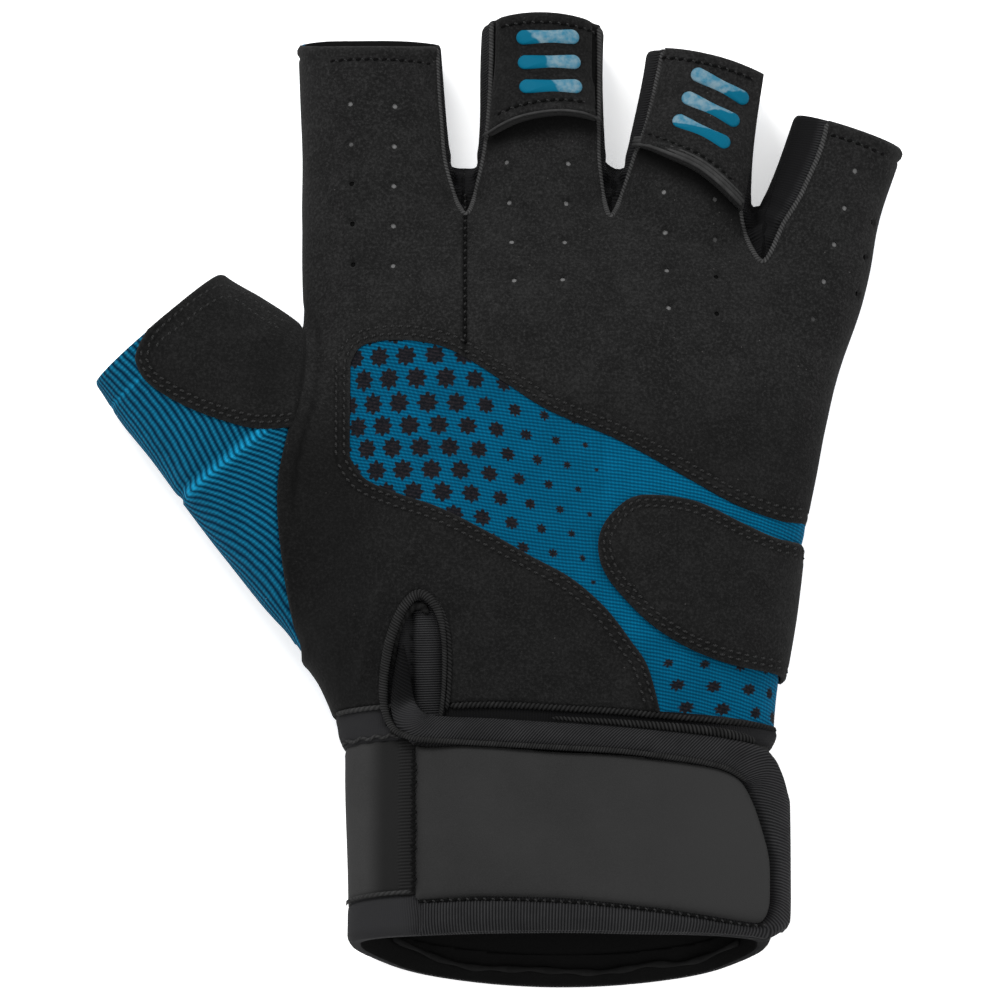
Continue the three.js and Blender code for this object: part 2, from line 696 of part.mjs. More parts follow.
function wristElastic() {
  return cuffWall(SEAM_GAP, ELASTIC_LENGTH, 0, -CLOTH);
}

function cuffSleeve() {
  return cuffWall(ELASTIC_LENGTH + SEAM_GAP, CUFF_LENGTH - HEM_WIDTH - SEAM_GAP, 0, -CUFF_WALL);
}

function cuffHem() {
  return cuffWall(CUFF_LENGTH - HEM_WIDTH, CUFF_LENGTH, 0, -HEM_THICKNESS);
}

function onCuff(rows) {
  return smooth(rows, CUFF_WIDTH, CUFF_LENGTH);
}

function strapBody(outline, thickness) {
  return layer(outline, LAYER_GAP, thickness, STRAP_END_HEIGHT, MOUTH_BACK_DROP);
}

function strapPanelOutline() {
  return onCuff(STRAP_PANEL);
}

// The binding runs along the top of the strap, round its free end and back along the bottom; its start
// curls up into the slit.
function bindingOutline() {
  const start = onCuff(STRAP_START);
  return [...onCuff(STRAP_TOP_EDGE), ...start, ...onCuff(STRAP_TOP).reverse()];
}

function strapFootprint() {
  return prism(widened(bindingOutline(), LAYER_GAP), BELOW, ABOVE);
}

function strapPanel() {
  return strapBody(strapPanelOutline(), STRAP_THICKNESS);
}

function strapBinding() {
  const ring = strapBody(bindingOutline(), STRAP_BINDING_THICKNESS);
  return ring.subtract(prism(widened(strapPanelOutline(), SEAM_GAP), BELOW, ABOVE));
}

// Assembly

const glove = new THREE.Group();

function addPiece(name, solid, look) {
  const material = new THREE.MeshStandardMaterial(look);
  const mesh = new THREE.Mesh(geometryFrom(mainBody(solid)), material);
  mesh.name = name;
  glove.add(mesh);
}

addPiece('index_thenar_panel', indexThenarPanel(), SUEDE);
addPiece('upper_palm_panel', upperPalmPanel(), SUEDE);
addPiece('palm_knit_insert', palmKnitInsert(), KNIT);
addPiece('heel_patch', heelPatch(), SUEDE);
addPiece('back_panel', backPanel(), KNIT);
addPiece('thumb_knit', thumbShell(), KNIT);
addPiece('thumb_patch', thumbPatch(), SUEDE);
for (const name of Object.keys(FOURCHETTES)) {
  addPiece(`fourchette_${name}`, fourchette(name), BINDING);
}
for (const name of Object.keys(TABS)) {
  addPiece(`tab_${name}`, tab(name), SUEDE);
  for (const order of [0, 1, 2]) {
    addPiece(`grip_bar_${name}_${order + 1}`, gripBar(name, order), SILICONE);
  }
}
addPiece('slit_binding', slitBinding(), BINDING);
addPiece('slit_gusset', slitGusset(), BINDING);
addPiece('wrist_elastic', wristElastic(), BINDING);
addPiece('cuff_sleeve', cuffSleeve(), NEOPRENE);
addPiece('cuff_hem', cuffHem(), BINDING);
addPiece('strap_panel', strapPanel(), STRAP_FABRIC);
addPiece('strap_binding', strapBinding(), BINDING);

// The origin is the middle of the bottom of the glove's box.
const box = new THREE.Box3().setFromObject(glove);
const middle = box.getCenter(new THREE.Vector3());
glove.position.set(-middle.x, -middle.y, -box.min.z);

export default glove;
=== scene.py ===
"""Looks of the half-finger training glove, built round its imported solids.

Lengths are in millimetres in the hand's own frame until a piece is made: the wrist seam lies along X at
y = 0, the fingers point to +Y, the thumb to -X, and z = 0 is what the back of the glove rests on.
"""
import math

import bpy
import numpy as np
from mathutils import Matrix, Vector
from mathutils.kdtree import KDTree


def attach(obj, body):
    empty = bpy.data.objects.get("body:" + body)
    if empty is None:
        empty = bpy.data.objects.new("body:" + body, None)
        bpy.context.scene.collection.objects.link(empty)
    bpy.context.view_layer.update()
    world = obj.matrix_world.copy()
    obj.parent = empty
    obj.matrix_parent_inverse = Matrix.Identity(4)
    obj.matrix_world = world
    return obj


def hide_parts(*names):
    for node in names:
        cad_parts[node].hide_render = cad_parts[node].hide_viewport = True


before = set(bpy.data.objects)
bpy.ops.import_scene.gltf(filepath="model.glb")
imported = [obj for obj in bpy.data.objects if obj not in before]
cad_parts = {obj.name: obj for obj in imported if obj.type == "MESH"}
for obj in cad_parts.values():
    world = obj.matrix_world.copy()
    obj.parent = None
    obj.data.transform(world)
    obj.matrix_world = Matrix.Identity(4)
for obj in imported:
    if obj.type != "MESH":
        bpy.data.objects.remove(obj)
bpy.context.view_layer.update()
rng = np.random.default_rng(11)

MM = 0.001
# From the hand's own frame to the part's, and the step of the grid on which the glove's skin is found
SHIFT = np.array([11.107, -41.693, 0.0])
GRID = 0.72

# ---------------------------------------------------------------- sizes, as in the part's source

HAND_LENGTH, PALM_WIDTH, PALM_THICKNESS = 92.0, 96.0, 27.0
KNUCKLE_DROP, REST_SAG, BACK_SEAM = 8.5, 3.0, 8.15
CUFF_LENGTH, CUFF_WIDTH, CUFF_THICKNESS = 41.0, 77.0, 27.0
ELASTIC_LENGTH, HEM_WIDTH = 6.0, 5.6
FINGER_THICKNESS, FINGER_SAG, TAB_LENGTH = 17.5, 1.0, 20.0
THUMB_LENGTH, THUMB_WIDTH, THUMB_THICKNESS, THUMB_ANGLE = 61.0, 29.0, 21.0, 41.2

# along, left, right, top
PALM_SECTIONS = [
    (0.0, -0.423, 0.403, 0.95), (0.07, -0.452, 0.409, 0.97), (0.14, -0.495, 0.418, 1.0),
    (0.24, -0.518, 0.432, 1.01), (0.4, -0.532, 0.452, 1.01), (0.55, -0.517, 0.475, 0.98),
    (0.65, -0.497, 0.489, 0.94), (0.76, -0.483, 0.508, 0.88), (0.87, -0.48, 0.526, 0.79),
    (0.95, -0.478, 0.542, 0.71), (1.0, -0.472, 0.552, 0.62), (1.06, -0.46, 0.556, 0.42),
    (1.13, -0.44, 0.55, 0.2),
]
CUFF_SECTIONS = [
    (0.08, -0.519, 0.499, 0.95), (0.15, -0.508, 0.485, 0.97), (0.3, -0.506, 0.485, 0.99),
    (0.6, -0.502, 0.49, 1.0), (0.86, -0.5, 0.49, 1.0), (1.0, -0.5, 0.485, 0.99), (1.4, -0.5, 0.485, 0.99),
]
# x, y, across, along, rise
PALM_RELIEFS = [
    (-0.28, 0.3, 0.16, 0.24, 0.07), (0.27, 0.28, 0.14, 0.26, 0.05),
    (0.0, 0.45, 0.15, 0.2, -0.07), (0.02, 0.8, 0.45, 0.1, 0.05),
]
# x, y, angle, length, width
FINGERS = {
    "index": (-0.328, 0.85, -4.0, 44.7, 26.0),
    "middle": (-0.044, 0.87, 1.2, 47.6, 22.6),
    "ring": (0.201, 0.856, 9.0, 42.6, 22.6),
    "little": (0.421, 0.804, 18.0, 36.0, 20.8),
}
# rear, lean, bow
OPENINGS = {
    "index": (0.29, 0.07, 0.01), "middle": (0.08, 0.0, 0.06),
    "ring": (0.08, 0.066, 0.025), "little": (0.1, 0.0, 0.0),
}
# along, width, top
FINGER_SECTIONS = [
    (-0.45, 1.02, 0.86), (0.0, 1.13, 1.03), (0.35, 1.11, 1.04), (0.7, 1.01, 1.0), (1.3, 1.0, 1.0),
]
# along, left, right, top
THUMB_SECTIONS = [
    (-0.98, -0.69, 0.3, 0.98), (-0.85, -0.7, 0.48, 1.1), (-0.69, -0.68, 0.62, 1.16),
    (-0.49, -0.66, 0.67, 1.14),
    (-0.3, -0.62, 0.634, 1.08), (-0.15, -0.6, 0.56, 1.03), (0.0, -0.56, 0.48, 1.0), (0.2, -0.56, 0.48, 1.0),
]
THUMB_OPENING = (-0.756, 0.793)
INSERT_TOP = [
    (-0.398, 0.495), (-0.398, 0.661), (-0.394, 0.7), (-0.37, 0.728), (-0.304, 0.733), (-0.229, 0.718),
    (-0.173, 0.688), (-0.098, 0.635), (-0.023, 0.585), (0.108, 0.524), (0.24, 0.445), (0.324, 0.4),
    (0.408, 0.376), (0.467, 0.38), (0.62, 0.385),
]
INSERT_BOTTOM = [
    (0.19, -0.05), (0.161, 0.068), (0.127, 0.124), (0.08, 0.188), (0.015, 0.248), (-0.06, 0.292),
    (-0.135, 0.335), (-0.229, 0.385), (-0.304, 0.414), (-0.368, 0.448), (-0.398, 0.495),
]
HEEL_PATCH = [
    (0.62, 0.335), (0.474, 0.338), (0.408, 0.338), (0.343, 0.36), (0.258, 0.398), (0.183, 0.412),
    (0.127, 0.407), (0.082, 0.364), (0.066, 0.314), (0.078, 0.26), (0.118, 0.204), (0.174, 0.148),
    (0.249, 0.104), (0.333, 0.08), (0.427, 0.076), (0.62, 0.074),
]
SLIT = [
    (-0.336, -0.04), (-0.342, 0.056), (-0.328, 0.136), (-0.304, 0.196), (-0.269, 0.228), (-0.239, 0.212),
    (-0.218, 0.174), (-0.208, 0.126), (-0.208, 0.068), (-0.22, -0.04),
]
INDEX_SEAM = [(-0.182, 1.05), (-0.182, 1.0), (-0.182, 0.72), (-0.182, 0.6)]
THUMB_SEAM = [
    (-0.6, 1.0), (-0.54, 0.86), (-0.496, 0.785), (-0.488, 0.7), (-0.496, 0.62), (-0.516, 0.54),
    (-0.532, 0.46), (-0.534, 0.38), (-0.524, 0.28), (-0.508, 0.187), (-0.49, 0.125), (-0.52, 0.08),
]
THUMB_PATCH = [
    (-0.62, 0.95), (-0.735, 0.83), (-0.75, 0.79), (-0.778, 0.756), (-0.8, 0.712), (-0.799, 0.686),
    (-0.778, 0.651), (-0.722, 0.61), (-0.653, 0.577), (-0.57, 0.552), (-0.49, 0.56), (-0.474, 0.59),
    (-0.46, 0.7), (-0.46, 0.78), (-0.5, 0.87),
]
FOURCHETTES = {
    "index_middle": [
        (-0.236, 1.45), (-0.234, 1.3), (-0.228, 1.2), (-0.218, 1.1), (-0.182, 1.0),
        (-0.158, 1.07), (-0.142, 1.16), (-0.134, 1.27), (-0.131, 1.45),
    ],
    "middle_ring": [
        (0.07, 1.45), (0.071, 1.3), (0.069, 1.18), (0.072, 1.09), (0.09, 0.995),
        (0.115, 1.05), (0.14, 1.13), (0.165, 1.2), (0.215, 1.45),
    ],
    "ring_little": [
        (0.395, 1.4), (0.37, 1.26), (0.35, 1.16), (0.336, 1.06), (0.342, 0.98), (0.378, 0.903),
        (0.418, 0.98), (0.444, 1.025), (0.46, 1.06), (0.488, 1.13), (0.504, 1.2), (0.53, 1.35),
    ],
}
# x, y, dx, dy, count
PERFORATIONS = [
    (-0.399, 1.222, 0.0015, -0.0815, 5), (-0.314, 1.217, -0.001, -0.0815, 5),
    (-0.105, 1.105, 0.005, -0.084, 4),
    (0.013, 1.101, -0.004, -0.082, 4), (0.191, 1.042, 0.003, -0.082, 4), (0.289, 1.028, 0.0005, -0.08, 4),
    (0.553, 1.087, -0.02, -0.075, 5), (0.586, 0.995, -0.015, -0.073, 3),
]
# The free edge of each pull tab (side, reach), then place, step and turn of its bars, then the gussets
# that it leaves bare
TABS = {
    "middle": ([(-0.6, 1.08), (-0.42, 1.05), (-0.17, 0.945), (0.16, 0.88), (0.48, 0.89), (0.6, 0.9)],
               (0.05, 0.4, -0.37, 3.0), ["index_middle", "middle_ring"]),
    "ring": ([(-0.6, 0.89), (-0.42, 0.905), (-0.17, 0.99), (0.11, 1.09), (0.44, 1.295), (0.6, 1.39)],
             (0.11, 0.485, 0.98, -17.0), ["middle_ring"]),
}
BAR_LENGTH, BAR_WIDTH, BAR_PITCH = 11.4, 2.7, 4.7
STRAP_PANEL = [
    (-0.342, -0.185), (-0.146, -0.212), (-0.005, -0.238), (0.155, -0.25), (0.313, -0.276), (0.378, -0.297),
    (0.418, -0.337), (0.447, -0.427), (0.467, -0.533), (0.484, -0.652), (0.487, -0.78), (0.484, -0.878),
    (0.47, -0.94), (0.44, -0.957), (0.331, -0.94), (0.174, -0.905), (0.0, -0.876), (-0.18, -0.866),
    (-0.342, -0.858),
]
STRAP_TOP = [
    (-0.381, 0.25), (-0.396, 0.16), (-0.403, 0.02), (-0.394, -0.075), (-0.369, -0.135), (-0.33, -0.185),
    (-0.15, -0.2), (0.2, -0.24),
]
STRAP_EDGE = [
    (-0.376, 0.25), (-0.362, 0.14), (-0.352, 0.04), (-0.34, -0.015), (-0.3, -0.055), (-0.15, -0.075),
    (0.0, -0.09), (0.155, -0.113), (0.313, -0.137), (0.43, -0.155), (0.49, -0.185), (0.513, -0.25),
    (0.526, -0.34), (0.542, -0.44), (0.56, -0.56), (0.56, -0.75), (0.545, -0.87), (0.525, -0.95),
    (0.49, -1.01), (0.44, -1.06), (0.3, -1.08), (-0.342, -1.08),
]

# x and y in millimetres along the middle of the strap's binding
BINDING_MIDDLE = [
    (-29.2, 9.5), (-29.2, 4.0), (-29.0, 0.0), (-28.0, -3.2), (-25.8, -5.2), (-22.0, -5.75),
    (-14.8, -5.9), (-7.9, -6.1),
    (0.5, -6.6), (9.0, -7.2), (17.6, -7.9), (25.9, -8.5), (32.0, -9.2), (36.3, -11.6), (38.4, -16.0),
    (39.3, -21.0),
    (39.6, -26.0), (39.9, -32.0), (39.4, -36.3), (36.6, -39.4), (30.0, -40.0), (23.0, -39.6), (10.0, -38.7),
    (-7.0, -38.0), (-26.3, -38.0),
]
# Distances of the double rows of stitches from the printed knit, and from a patch's edge
INSERT_ROWS, PATCH_ROWS = (0.95, 2.4), (1.1, 2.2)
# How far the pull tabs and the strap lie above the glove
TAB_LIFT, STRAP_LIFT = 2.0, 3.0

# ---------------------------------------------------------------- curves and distances


def spline(rows, steps=8):
    """A smooth line through rows of numbers."""
    p = np.array(rows, float)
    p = np.vstack([p[:1], p, p[-1:]])
    t = np.linspace(0, 1, steps, endpoint=False)[:, None]
    out = []
    for a, b, c, d in zip(p[:-3], p[1:-2], p[2:-1], p[3:]):
        v0, v1 = (c - a) / 2, (d - b) / 2
        out.append((2 * b - 2 * c + v0 + v1) * t**3 + (3 * c - 3 * b - 2 * v0 - v1) * t**2 + v0 * t + b)
    return np.vstack([*out, p[-1:]])


def on_hand(rows):
    return spline(rows) * [PALM_WIDTH, HAND_LENGTH]


def on_cuff(rows):
    return spline(rows) * [CUFF_WIDTH, CUFF_LENGTH]


def hand_point(x, y):
    return np.array([x * PALM_WIDTH, y * HAND_LENGTH])


class Line:
    """A polyline in the XY plane that answers with distance and length along it."""

    def __init__(self, points, closed=True):
        p = np.asarray(points, float)
        p = p[np.r_[True, np.linalg.norm(np.diff(p, axis=0), axis=1) > 1e-6]]
        if closed and np.linalg.norm(p[0] - p[-1]) > 1e-6:
            p = np.vstack([p, p[:1]])
        self.p, self.closed = p, closed
        self.d = np.diff(p, axis=0)
        self.size = np.linalg.norm(self.d, axis=1)
        self.start = np.r_[0, np.cumsum(self.size)]

    def near(self, points):
        """Unsigned distance and length along the line for each point."""
        far, along = [], []
        for q in np.array_split(points[:, :2], max(1, len(points) // 4000)):
            r = q[:, None] - self.p[None, :-1]
            t = np.clip((r * self.d).sum(2) / self.size**2, 0, 1)
            gap = np.linalg.norm(r - t[..., None] * self.d, axis=2)
            best = gap.argmin(1)
            rows = np.arange(len(q))
            far.append(gap[rows, best])
            along.append(self.start[best] + t[rows, best] * self.size[best])
        return np.concatenate(far), np.concatenate(along)

    def inside(self, points):
        x, y = points[:, :1], points[:, 1:2]
        (x0, y0), (x1, y1) = self.p[:-1].T, self.p[1:].T
        crosses = (y0 > y) != (y1 > y)
        at = x0 + (y - y0) / np.where(y1 == y0, 1, y1 - y0) * (x1 - x0)
        return (crosses & (x < at)).sum(1) % 2 == 1

    def depth(self, points):
        """Distance to the outline, positive inside it."""
        far = self.near(points)[0]
        return np.where(self.inside(points), far, -far)

    def offset(self, by):
        """The line moved to its left by a distance, without the loops that this makes."""
        step = np.gradient(self.p, axis=0)
        step /= np.linalg.norm(step, axis=1)[:, None]
        moved = self.p + by * np.c_[-step[:, 1], step[:, 0]]
        return moved[self.near(moved)[0] > abs(by) - 0.08]

    def beside(self, points):
        """How far to the left of the line each point lies, and the length along it."""
        far, along = self.near(points)
        ahead = self.at(along + 0.2) - self.at(along - 0.2)
        r = points[:, :2] - self.at(along)
        return np.sign(ahead[:, 0] * r[:, 1] - ahead[:, 1] * r[:, 0]) * far, along

    def at(self, lengths):
        return np.stack([np.interp(lengths, self.start, column) for column in self.p.T], 1)


def ease(value, low, high):
    t = np.clip((value - low) / (high - low), 0, 1)
    return t * t * (3 - 2 * t)


def bump(value, width):
    return np.exp(-((value / width) ** 2))


def unit(v):
    return v / np.maximum(np.linalg.norm(v, axis=-1, keepdims=True), 1e-9)


# ---------------------------------------------------------------- the hand and cuff as one smooth body

BODY = spline(np.vstack([
    np.array(CUFF_SECTIONS[::-1]) * [-CUFF_LENGTH, CUFF_WIDTH, CUFF_WIDTH, CUFF_THICKNESS],
    np.array(PALM_SECTIONS) * [HAND_LENGTH, PALM_WIDTH, PALM_WIDTH, PALM_THICKNESS],
]))
FINGER = spline(FINGER_SECTIONS)
THUMB = spline(THUMB_SECTIONS)
TURN = math.radians(THUMB_ANGLE)
THUMB_ALONG = np.array([-math.sin(TURN), math.cos(TURN)])
THUMB_SIDE = np.array([math.cos(TURN), math.sin(TURN)])
THUMB_START = hand_point(*THUMB_OPENING)


# How square the sections are, and how wide the thumb, the fingers and the flat back blend in
BODY_ROUNDNESS, FINGER_ROUNDNESS = 2.5, 2.2
THUMB_BLEND, FINGER_BLEND, BACK_BLEND = 2.0, 1.6, 1.4


def oval(dx, dz, half_width, half_height, roundness):
    """Distance from the edge of an oval section, negative inside."""
    u, w = np.abs(dx) / half_width, np.abs(dz) / half_height
    g = u**roundness + w**roundness + 1e-9
    less = roundness - 1
    steep = g ** (1 / roundness - 1) * np.hypot(u**less / half_width, w**less / half_height)
    return (g ** (1 / roundness) - 1) / np.maximum(steep, 1e-4)


def merge(a, b, k):
    h = np.clip(0.5 + 0.5 * (b - a) / k, 0, 1)
    return b * (1 - h) + a * h - k * h * (1 - h)


def body(p):
    x, y, z = p.T
    lean = KNUCKLE_DROP / HAND_LENGTH * np.clip((x - 0.09 * PALM_WIDTH) / (0.29 * PALM_WIDTH), 0, None)
    s = np.where(y > 0, y / (1 - lean), y)
    left, right, top = (np.interp(s, BODY[:, 0], BODY[:, i]) for i in (1, 2, 3))
    middle, height = (top - REST_SAG) / 2, (top + REST_SAG) / 2
    rise = sum(
        r * PALM_THICKNESS * bump((x / PALM_WIDTH - cx) / wx, 1) * bump((y / HAND_LENGTH - cy) / wy, 1)
        for cx, cy, wx, wy, r in PALM_RELIEFS
    )
    z = z - rise * np.clip((z - middle) / height, 0, 1)
    d = oval(x - (left + right) / 2, z - middle, (right - left) / 2, height, BODY_ROUNDNESS)
    return np.maximum(d, s - 1.13 * HAND_LENGTH)


def finger_axes(name):
    x, y, angle = FINGERS[name][:3]
    c, s = math.cos(math.radians(angle)), math.sin(math.radians(angle))
    return hand_point(x, y), np.array([s, c]), np.array([c, -s])


def on_finger(name, p):
    """How far along a finger and to its side each point lies."""
    start, along, side = finger_axes(name)
    return (p[:, :2] - start) @ along, (p[:, :2] - start) @ side


def from_finger(name, along, side):
    start, a, s = finger_axes(name)
    return start + np.outer(along, a) + np.outer(side, s)


def finger(name, p):
    length, width = FINGERS[name][3:5]
    along, across = on_finger(name, p)
    half = np.interp(along / length, FINGER[:, 0], FINGER[:, 1]) * width / 2
    top = np.interp(along / length, FINGER[:, 0], FINGER[:, 2]) * FINGER_THICKNESS
    d = oval(across, p[:, 2] - (top - FINGER_SAG) / 2, half, (top + FINGER_SAG) / 2, FINGER_ROUNDNESS)
    return np.maximum(d, np.maximum(-0.45 * length - along, along - length - 7))


def on_thumb(p):
    return (p[:, :2] - THUMB_START) @ THUMB_ALONG, (p[:, :2] - THUMB_START) @ THUMB_SIDE


def thumb(p):
    along, across = on_thumb(p)
    left, right, top = (np.interp(along / THUMB_LENGTH, THUMB[:, 0], THUMB[:, i]) for i in (1, 2, 3))
    left, right, top = left * THUMB_WIDTH, right * THUMB_WIDTH, top * THUMB_THICKNESS
    middle, height = (top - FINGER_SAG) / 2, (top + FINGER_SAG) / 2
    d = oval(across - (left + right) / 2, p[:, 2] - middle, (right - left) / 2, height, FINGER_ROUNDNESS)
    return np.maximum(d, np.maximum(-0.98 * THUMB_LENGTH - along, along - 6))


# Faint waves all over the cloth: direction, phase and size
WAVES = [
    (unit(rng.normal(size=3) / np.array([1, 1.2, 0.8])), rng.uniform(0, 2 * math.pi), rng.uniform(14, 34))
    for _ in range(14)
]
WAVE_HEIGHT = 0.075
# Soft folds of the cloth: x0, y0, x1, y1, width, height
FOLDS = [
    (-36.0, 6.0, -33.0, 19.0, 1.1, 0.5), (-33.0, 19.0, -26.0, 28.5, 1.4, 0.45),
    (-42.5, 66.0, -44.0, 56.0, 1.0, 0.35), (-40.0, 63.0, -44.5, 50.0, 1.6, 0.3),
    (-12.0, 30.0, 6.0, 17.0, 4.0, 0.35), (-47.0, 40.0, -42.0, 22.0, 3.0, -0.4),
    (20.9, 87.1, 32.6, 84.0, 1.3, -0.4), (27.0, 83.5, 36.0, 79.0, 1.4, -0.3),
    (-61.6, 67.5, -54.4, 68.0, 1.2, 0.4), (-60.0, 61.0, -53.0, 58.5, 1.6, 0.3),
]


def folds(p):
    """How far the cloth stands out in its soft waves and folds."""
    rise = sum(np.sin(p @ w * (2 * math.pi / size) + phase) * size / 34 for w, phase, size in WAVES)
    rise = WAVE_HEIGHT * rise
    upper = ease(p[:, 2], 6, 14)
    for x0, y0, x1, y1, width, height in FOLDS:
        d = np.array([x1 - x0, y1 - y0])
        r = p[:, :2] - [x0, y0]
        t = r @ d / (d @ d)
        gap = np.linalg.norm(r - np.clip(t, 0, 1)[:, None] * d, axis=1)
        rise = rise + height * bump(gap, width) * upper
    return rise


def glove(p):
    """Distance from the glove's outer surface, negative inside."""
    d = body(p)
    near = p[:, 0] < -8
    if near.any():
        d[near] = merge(d[near], thumb(p[near]), THUMB_BLEND)
    near = p[:, 1] > 30
    if near.any():
        q, e = p[near], d[near]
        for name in FINGERS:
            e = merge(e, finger(name, q), FINGER_BLEND)
        d[near] = e
    d = -merge(-d, p[:, 2], BACK_BLEND)
    return d - folds(p) * ease(p[:, 2], 0.5, 5)


def slope(f, p, h=0.25):
    g = np.empty_like(p)
    for i in range(3):
        e = np.zeros(3)
        e[i] = h
        g[:, i] = (f(p + e) - f(p - e)) / (2 * h)
    return g


def onto(f, v):
    """Points moved towards the zero surface of f."""
    g = slope(f, v)
    return v - g * (f(v) / np.maximum((g**2).sum(1), 0.2))[:, None]


def skin_of(f, low, high, step):
    """The zero surface of f as vertices, normals and triangles."""
    axes = [np.arange(a, b, step) for a, b in zip(low, high)]
    shape = tuple(len(a) for a in axes)
    values = np.empty(shape)
    for i, x in enumerate(axes[0]):
        y, z = np.meshgrid(axes[1], axes[2], indexing="ij")
        p = np.c_[np.full(y.size, x), y.ravel(), z.ravel()]
        values[i] = f(p).reshape(y.shape)
    cells = tuple(n - 1 for n in shape)
    total, count = np.zeros((*cells, 3)), np.zeros(cells)
    inside = values < 0
    full = [slice(None)] * 3
    for axis in range(3):
        others = [i for i in range(3) if i != axis]
        for da in (0, 1):
            for db in (0, 1):
                low_end, high_end = [None] * 3, [None] * 3
                low_end[axis], high_end[axis] = slice(0, -1), slice(1, None)
                for i, d in zip(others, (da, db)):
                    low_end[i] = high_end[i] = slice(d, shape[i] - 1 + d)
                a, b = values[tuple(low_end)], values[tuple(high_end)]
                cross = (a < 0) != (b < 0)
                t = np.where(cross, a / np.where(cross, a - b, 1), 0)
                total[..., axis] += t
                total[..., others[0]] += np.where(cross, da, 0)
                total[..., others[1]] += np.where(cross, db, 0)
                count += cross
    active = count > 0
    index = np.full(cells, -1)
    index[active] = np.arange(active.sum())
    where = np.argwhere(active)
    v = (where + total[active] / count[active][:, None]) * step + np.array(low)
    quads = []
    for axis in range(3):
        i, j = [k for k in range(3) if k != axis]
        lo, hi = list(full), list(full)
        lo[axis], hi[axis] = slice(0, -1), slice(1, None)
        change = inside[tuple(lo)] != inside[tuple(hi)]
        where = np.argwhere(change)
        a, b = where[:, i], where[:, j]
        where = where[(a > 0) & (b > 0) & (a < cells[i]) & (b < cells[j])]
        out = inside[tuple(where.T)]
        corner = []
        for a, b in ((0, 0), (1, 0), (1, 1), (0, 1)):
            c = where.copy()
            c[:, i] -= a
            c[:, j] -= b
            corner.append(index[tuple(c.T)])
        q = np.stack(corner, 1)
        flip = out if axis != 1 else ~out
        q[flip] = q[flip][:, ::-1]
        quads.append(q)
    q = np.vstack(quads)
    q = q[(q >= 0).all(1)]
    for _ in range(2):
        mean, n = np.zeros_like(v), np.zeros(len(v))
        for a in range(4):
            np.add.at(mean, q[:, a], v[q[:, (a + 1) % 4]])
            np.add.at(mean, q[:, a], v[q[:, (a + 3) % 4]])
            np.add.at(n, q[:, a], 2)
        v = onto(f, 0.5 * v + 0.5 * mean / np.maximum(n, 1)[:, None])
    v = onto(f, v)
    long = np.linalg.norm(v[q[:, 0]] - v[q[:, 2]], axis=1) > np.linalg.norm(v[q[:, 1]] - v[q[:, 3]], axis=1)
    q[long] = np.roll(q[long], 1, axis=1)
    faces = np.vstack([q[:, [0, 1, 2]], q[:, [0, 2, 3]]])
    a, b, c = v[faces[0]]
    normals = unit(slope(f, v, 0.5))
    if np.cross(b - a, c - a) @ normals[faces[0, 0]] < 0:
        faces = faces[:, ::-1]
    return v, normals, faces


# ---------------------------------------------------------------- cutting cloth from the body


def sides_of(f):
    """The three sides of each triangle."""
    return np.vstack([f[:, [0, 1]], f[:, [1, 2]], f[:, [2, 0]]])


def compact(v, n, f):
    used = np.unique(f)
    index = np.full(len(v), -1)
    index[used] = np.arange(len(used))
    return v[used], n[used], index[f]


def cut(skin, field, both=False):
    """The part of the skin where field is above zero, or with both, the whole skin with an edge there."""
    v, n, f = skin
    if len(f) == 0:
        return skin
    s = field(v)
    s = np.where(np.abs(s) < 0.02, np.where(s < 0, -0.02, 0.02) * 1e-3, s)
    k = s[f] > 0
    count = k.sum(1)
    split = (count == 1) | (count == 2)
    mixed, km = f[split], k[split]
    whole = f[~split] if both else f[count == 3]
    if len(mixed):
        alone_in = km.sum(1) == 1
        first = np.where(alone_in, km.argmax(1), (~km).argmax(1))
        a, b, c = mixed[np.arange(len(mixed))[:, None], (first[:, None] + [0, 1, 2]) % 3].T
        ends = np.sort(np.vstack([np.c_[a, b], np.c_[a, c]]), axis=1)
        code, back = np.unique(ends[:, 0] * len(v) + ends[:, 1], return_inverse=True)
        lo, hi = code // len(v), code % len(v)
        t = (s[lo] / (s[lo] - s[hi]))[:, None]
        ab, ac = len(v) + back[: len(a)], len(v) + back[len(a) :]
        v = np.vstack([v, v[lo] * (1 - t) + v[hi] * t])
        n = np.vstack([n, unit(n[lo] * (1 - t) + n[hi] * t)])
        tip = np.c_[a, ab, ac]
        rest = np.hstack([np.c_[ab, b, c], np.c_[ab, c, ac]]).reshape(-1, 2, 3)
        if both:
            whole = np.vstack([whole, tip, rest.reshape(-1, 3)])
        else:
            whole = np.vstack([whole, tip[alone_in], rest[~alone_in].reshape(-1, 3)])
    return compact(v, n, whole)


def above(skin, height):
    return cut(skin, lambda p: p[:, 2] - height)


def rim(skin, step=0.12):
    """Distance from a skin's open edge, as a function of points."""
    v, _, f = skin
    edges = np.sort(sides_of(f), axis=1)
    code, count = np.unique(edges[:, 0] * len(v) + edges[:, 1], return_counts=True)
    code = code[count == 1]
    a, b = v[code // len(v)], v[code % len(v)]
    parts = np.maximum(1, np.ceil(np.linalg.norm(b - a, axis=1) / step).astype(int))
    which = np.repeat(np.arange(len(a)), parts)
    t = (np.arange(len(which)) - np.repeat(np.cumsum(parts) - parts, parts) + 0.5) / parts[which]
    points = a[which] * (1 - t[:, None]) + b[which] * t[:, None]
    tree = KDTree(len(points))
    for i, p in enumerate(points):
        tree.insert(p, i)
    tree.balance()

    def far(p):
        return np.array([tree.find(q)[2] for q in p])

    return far


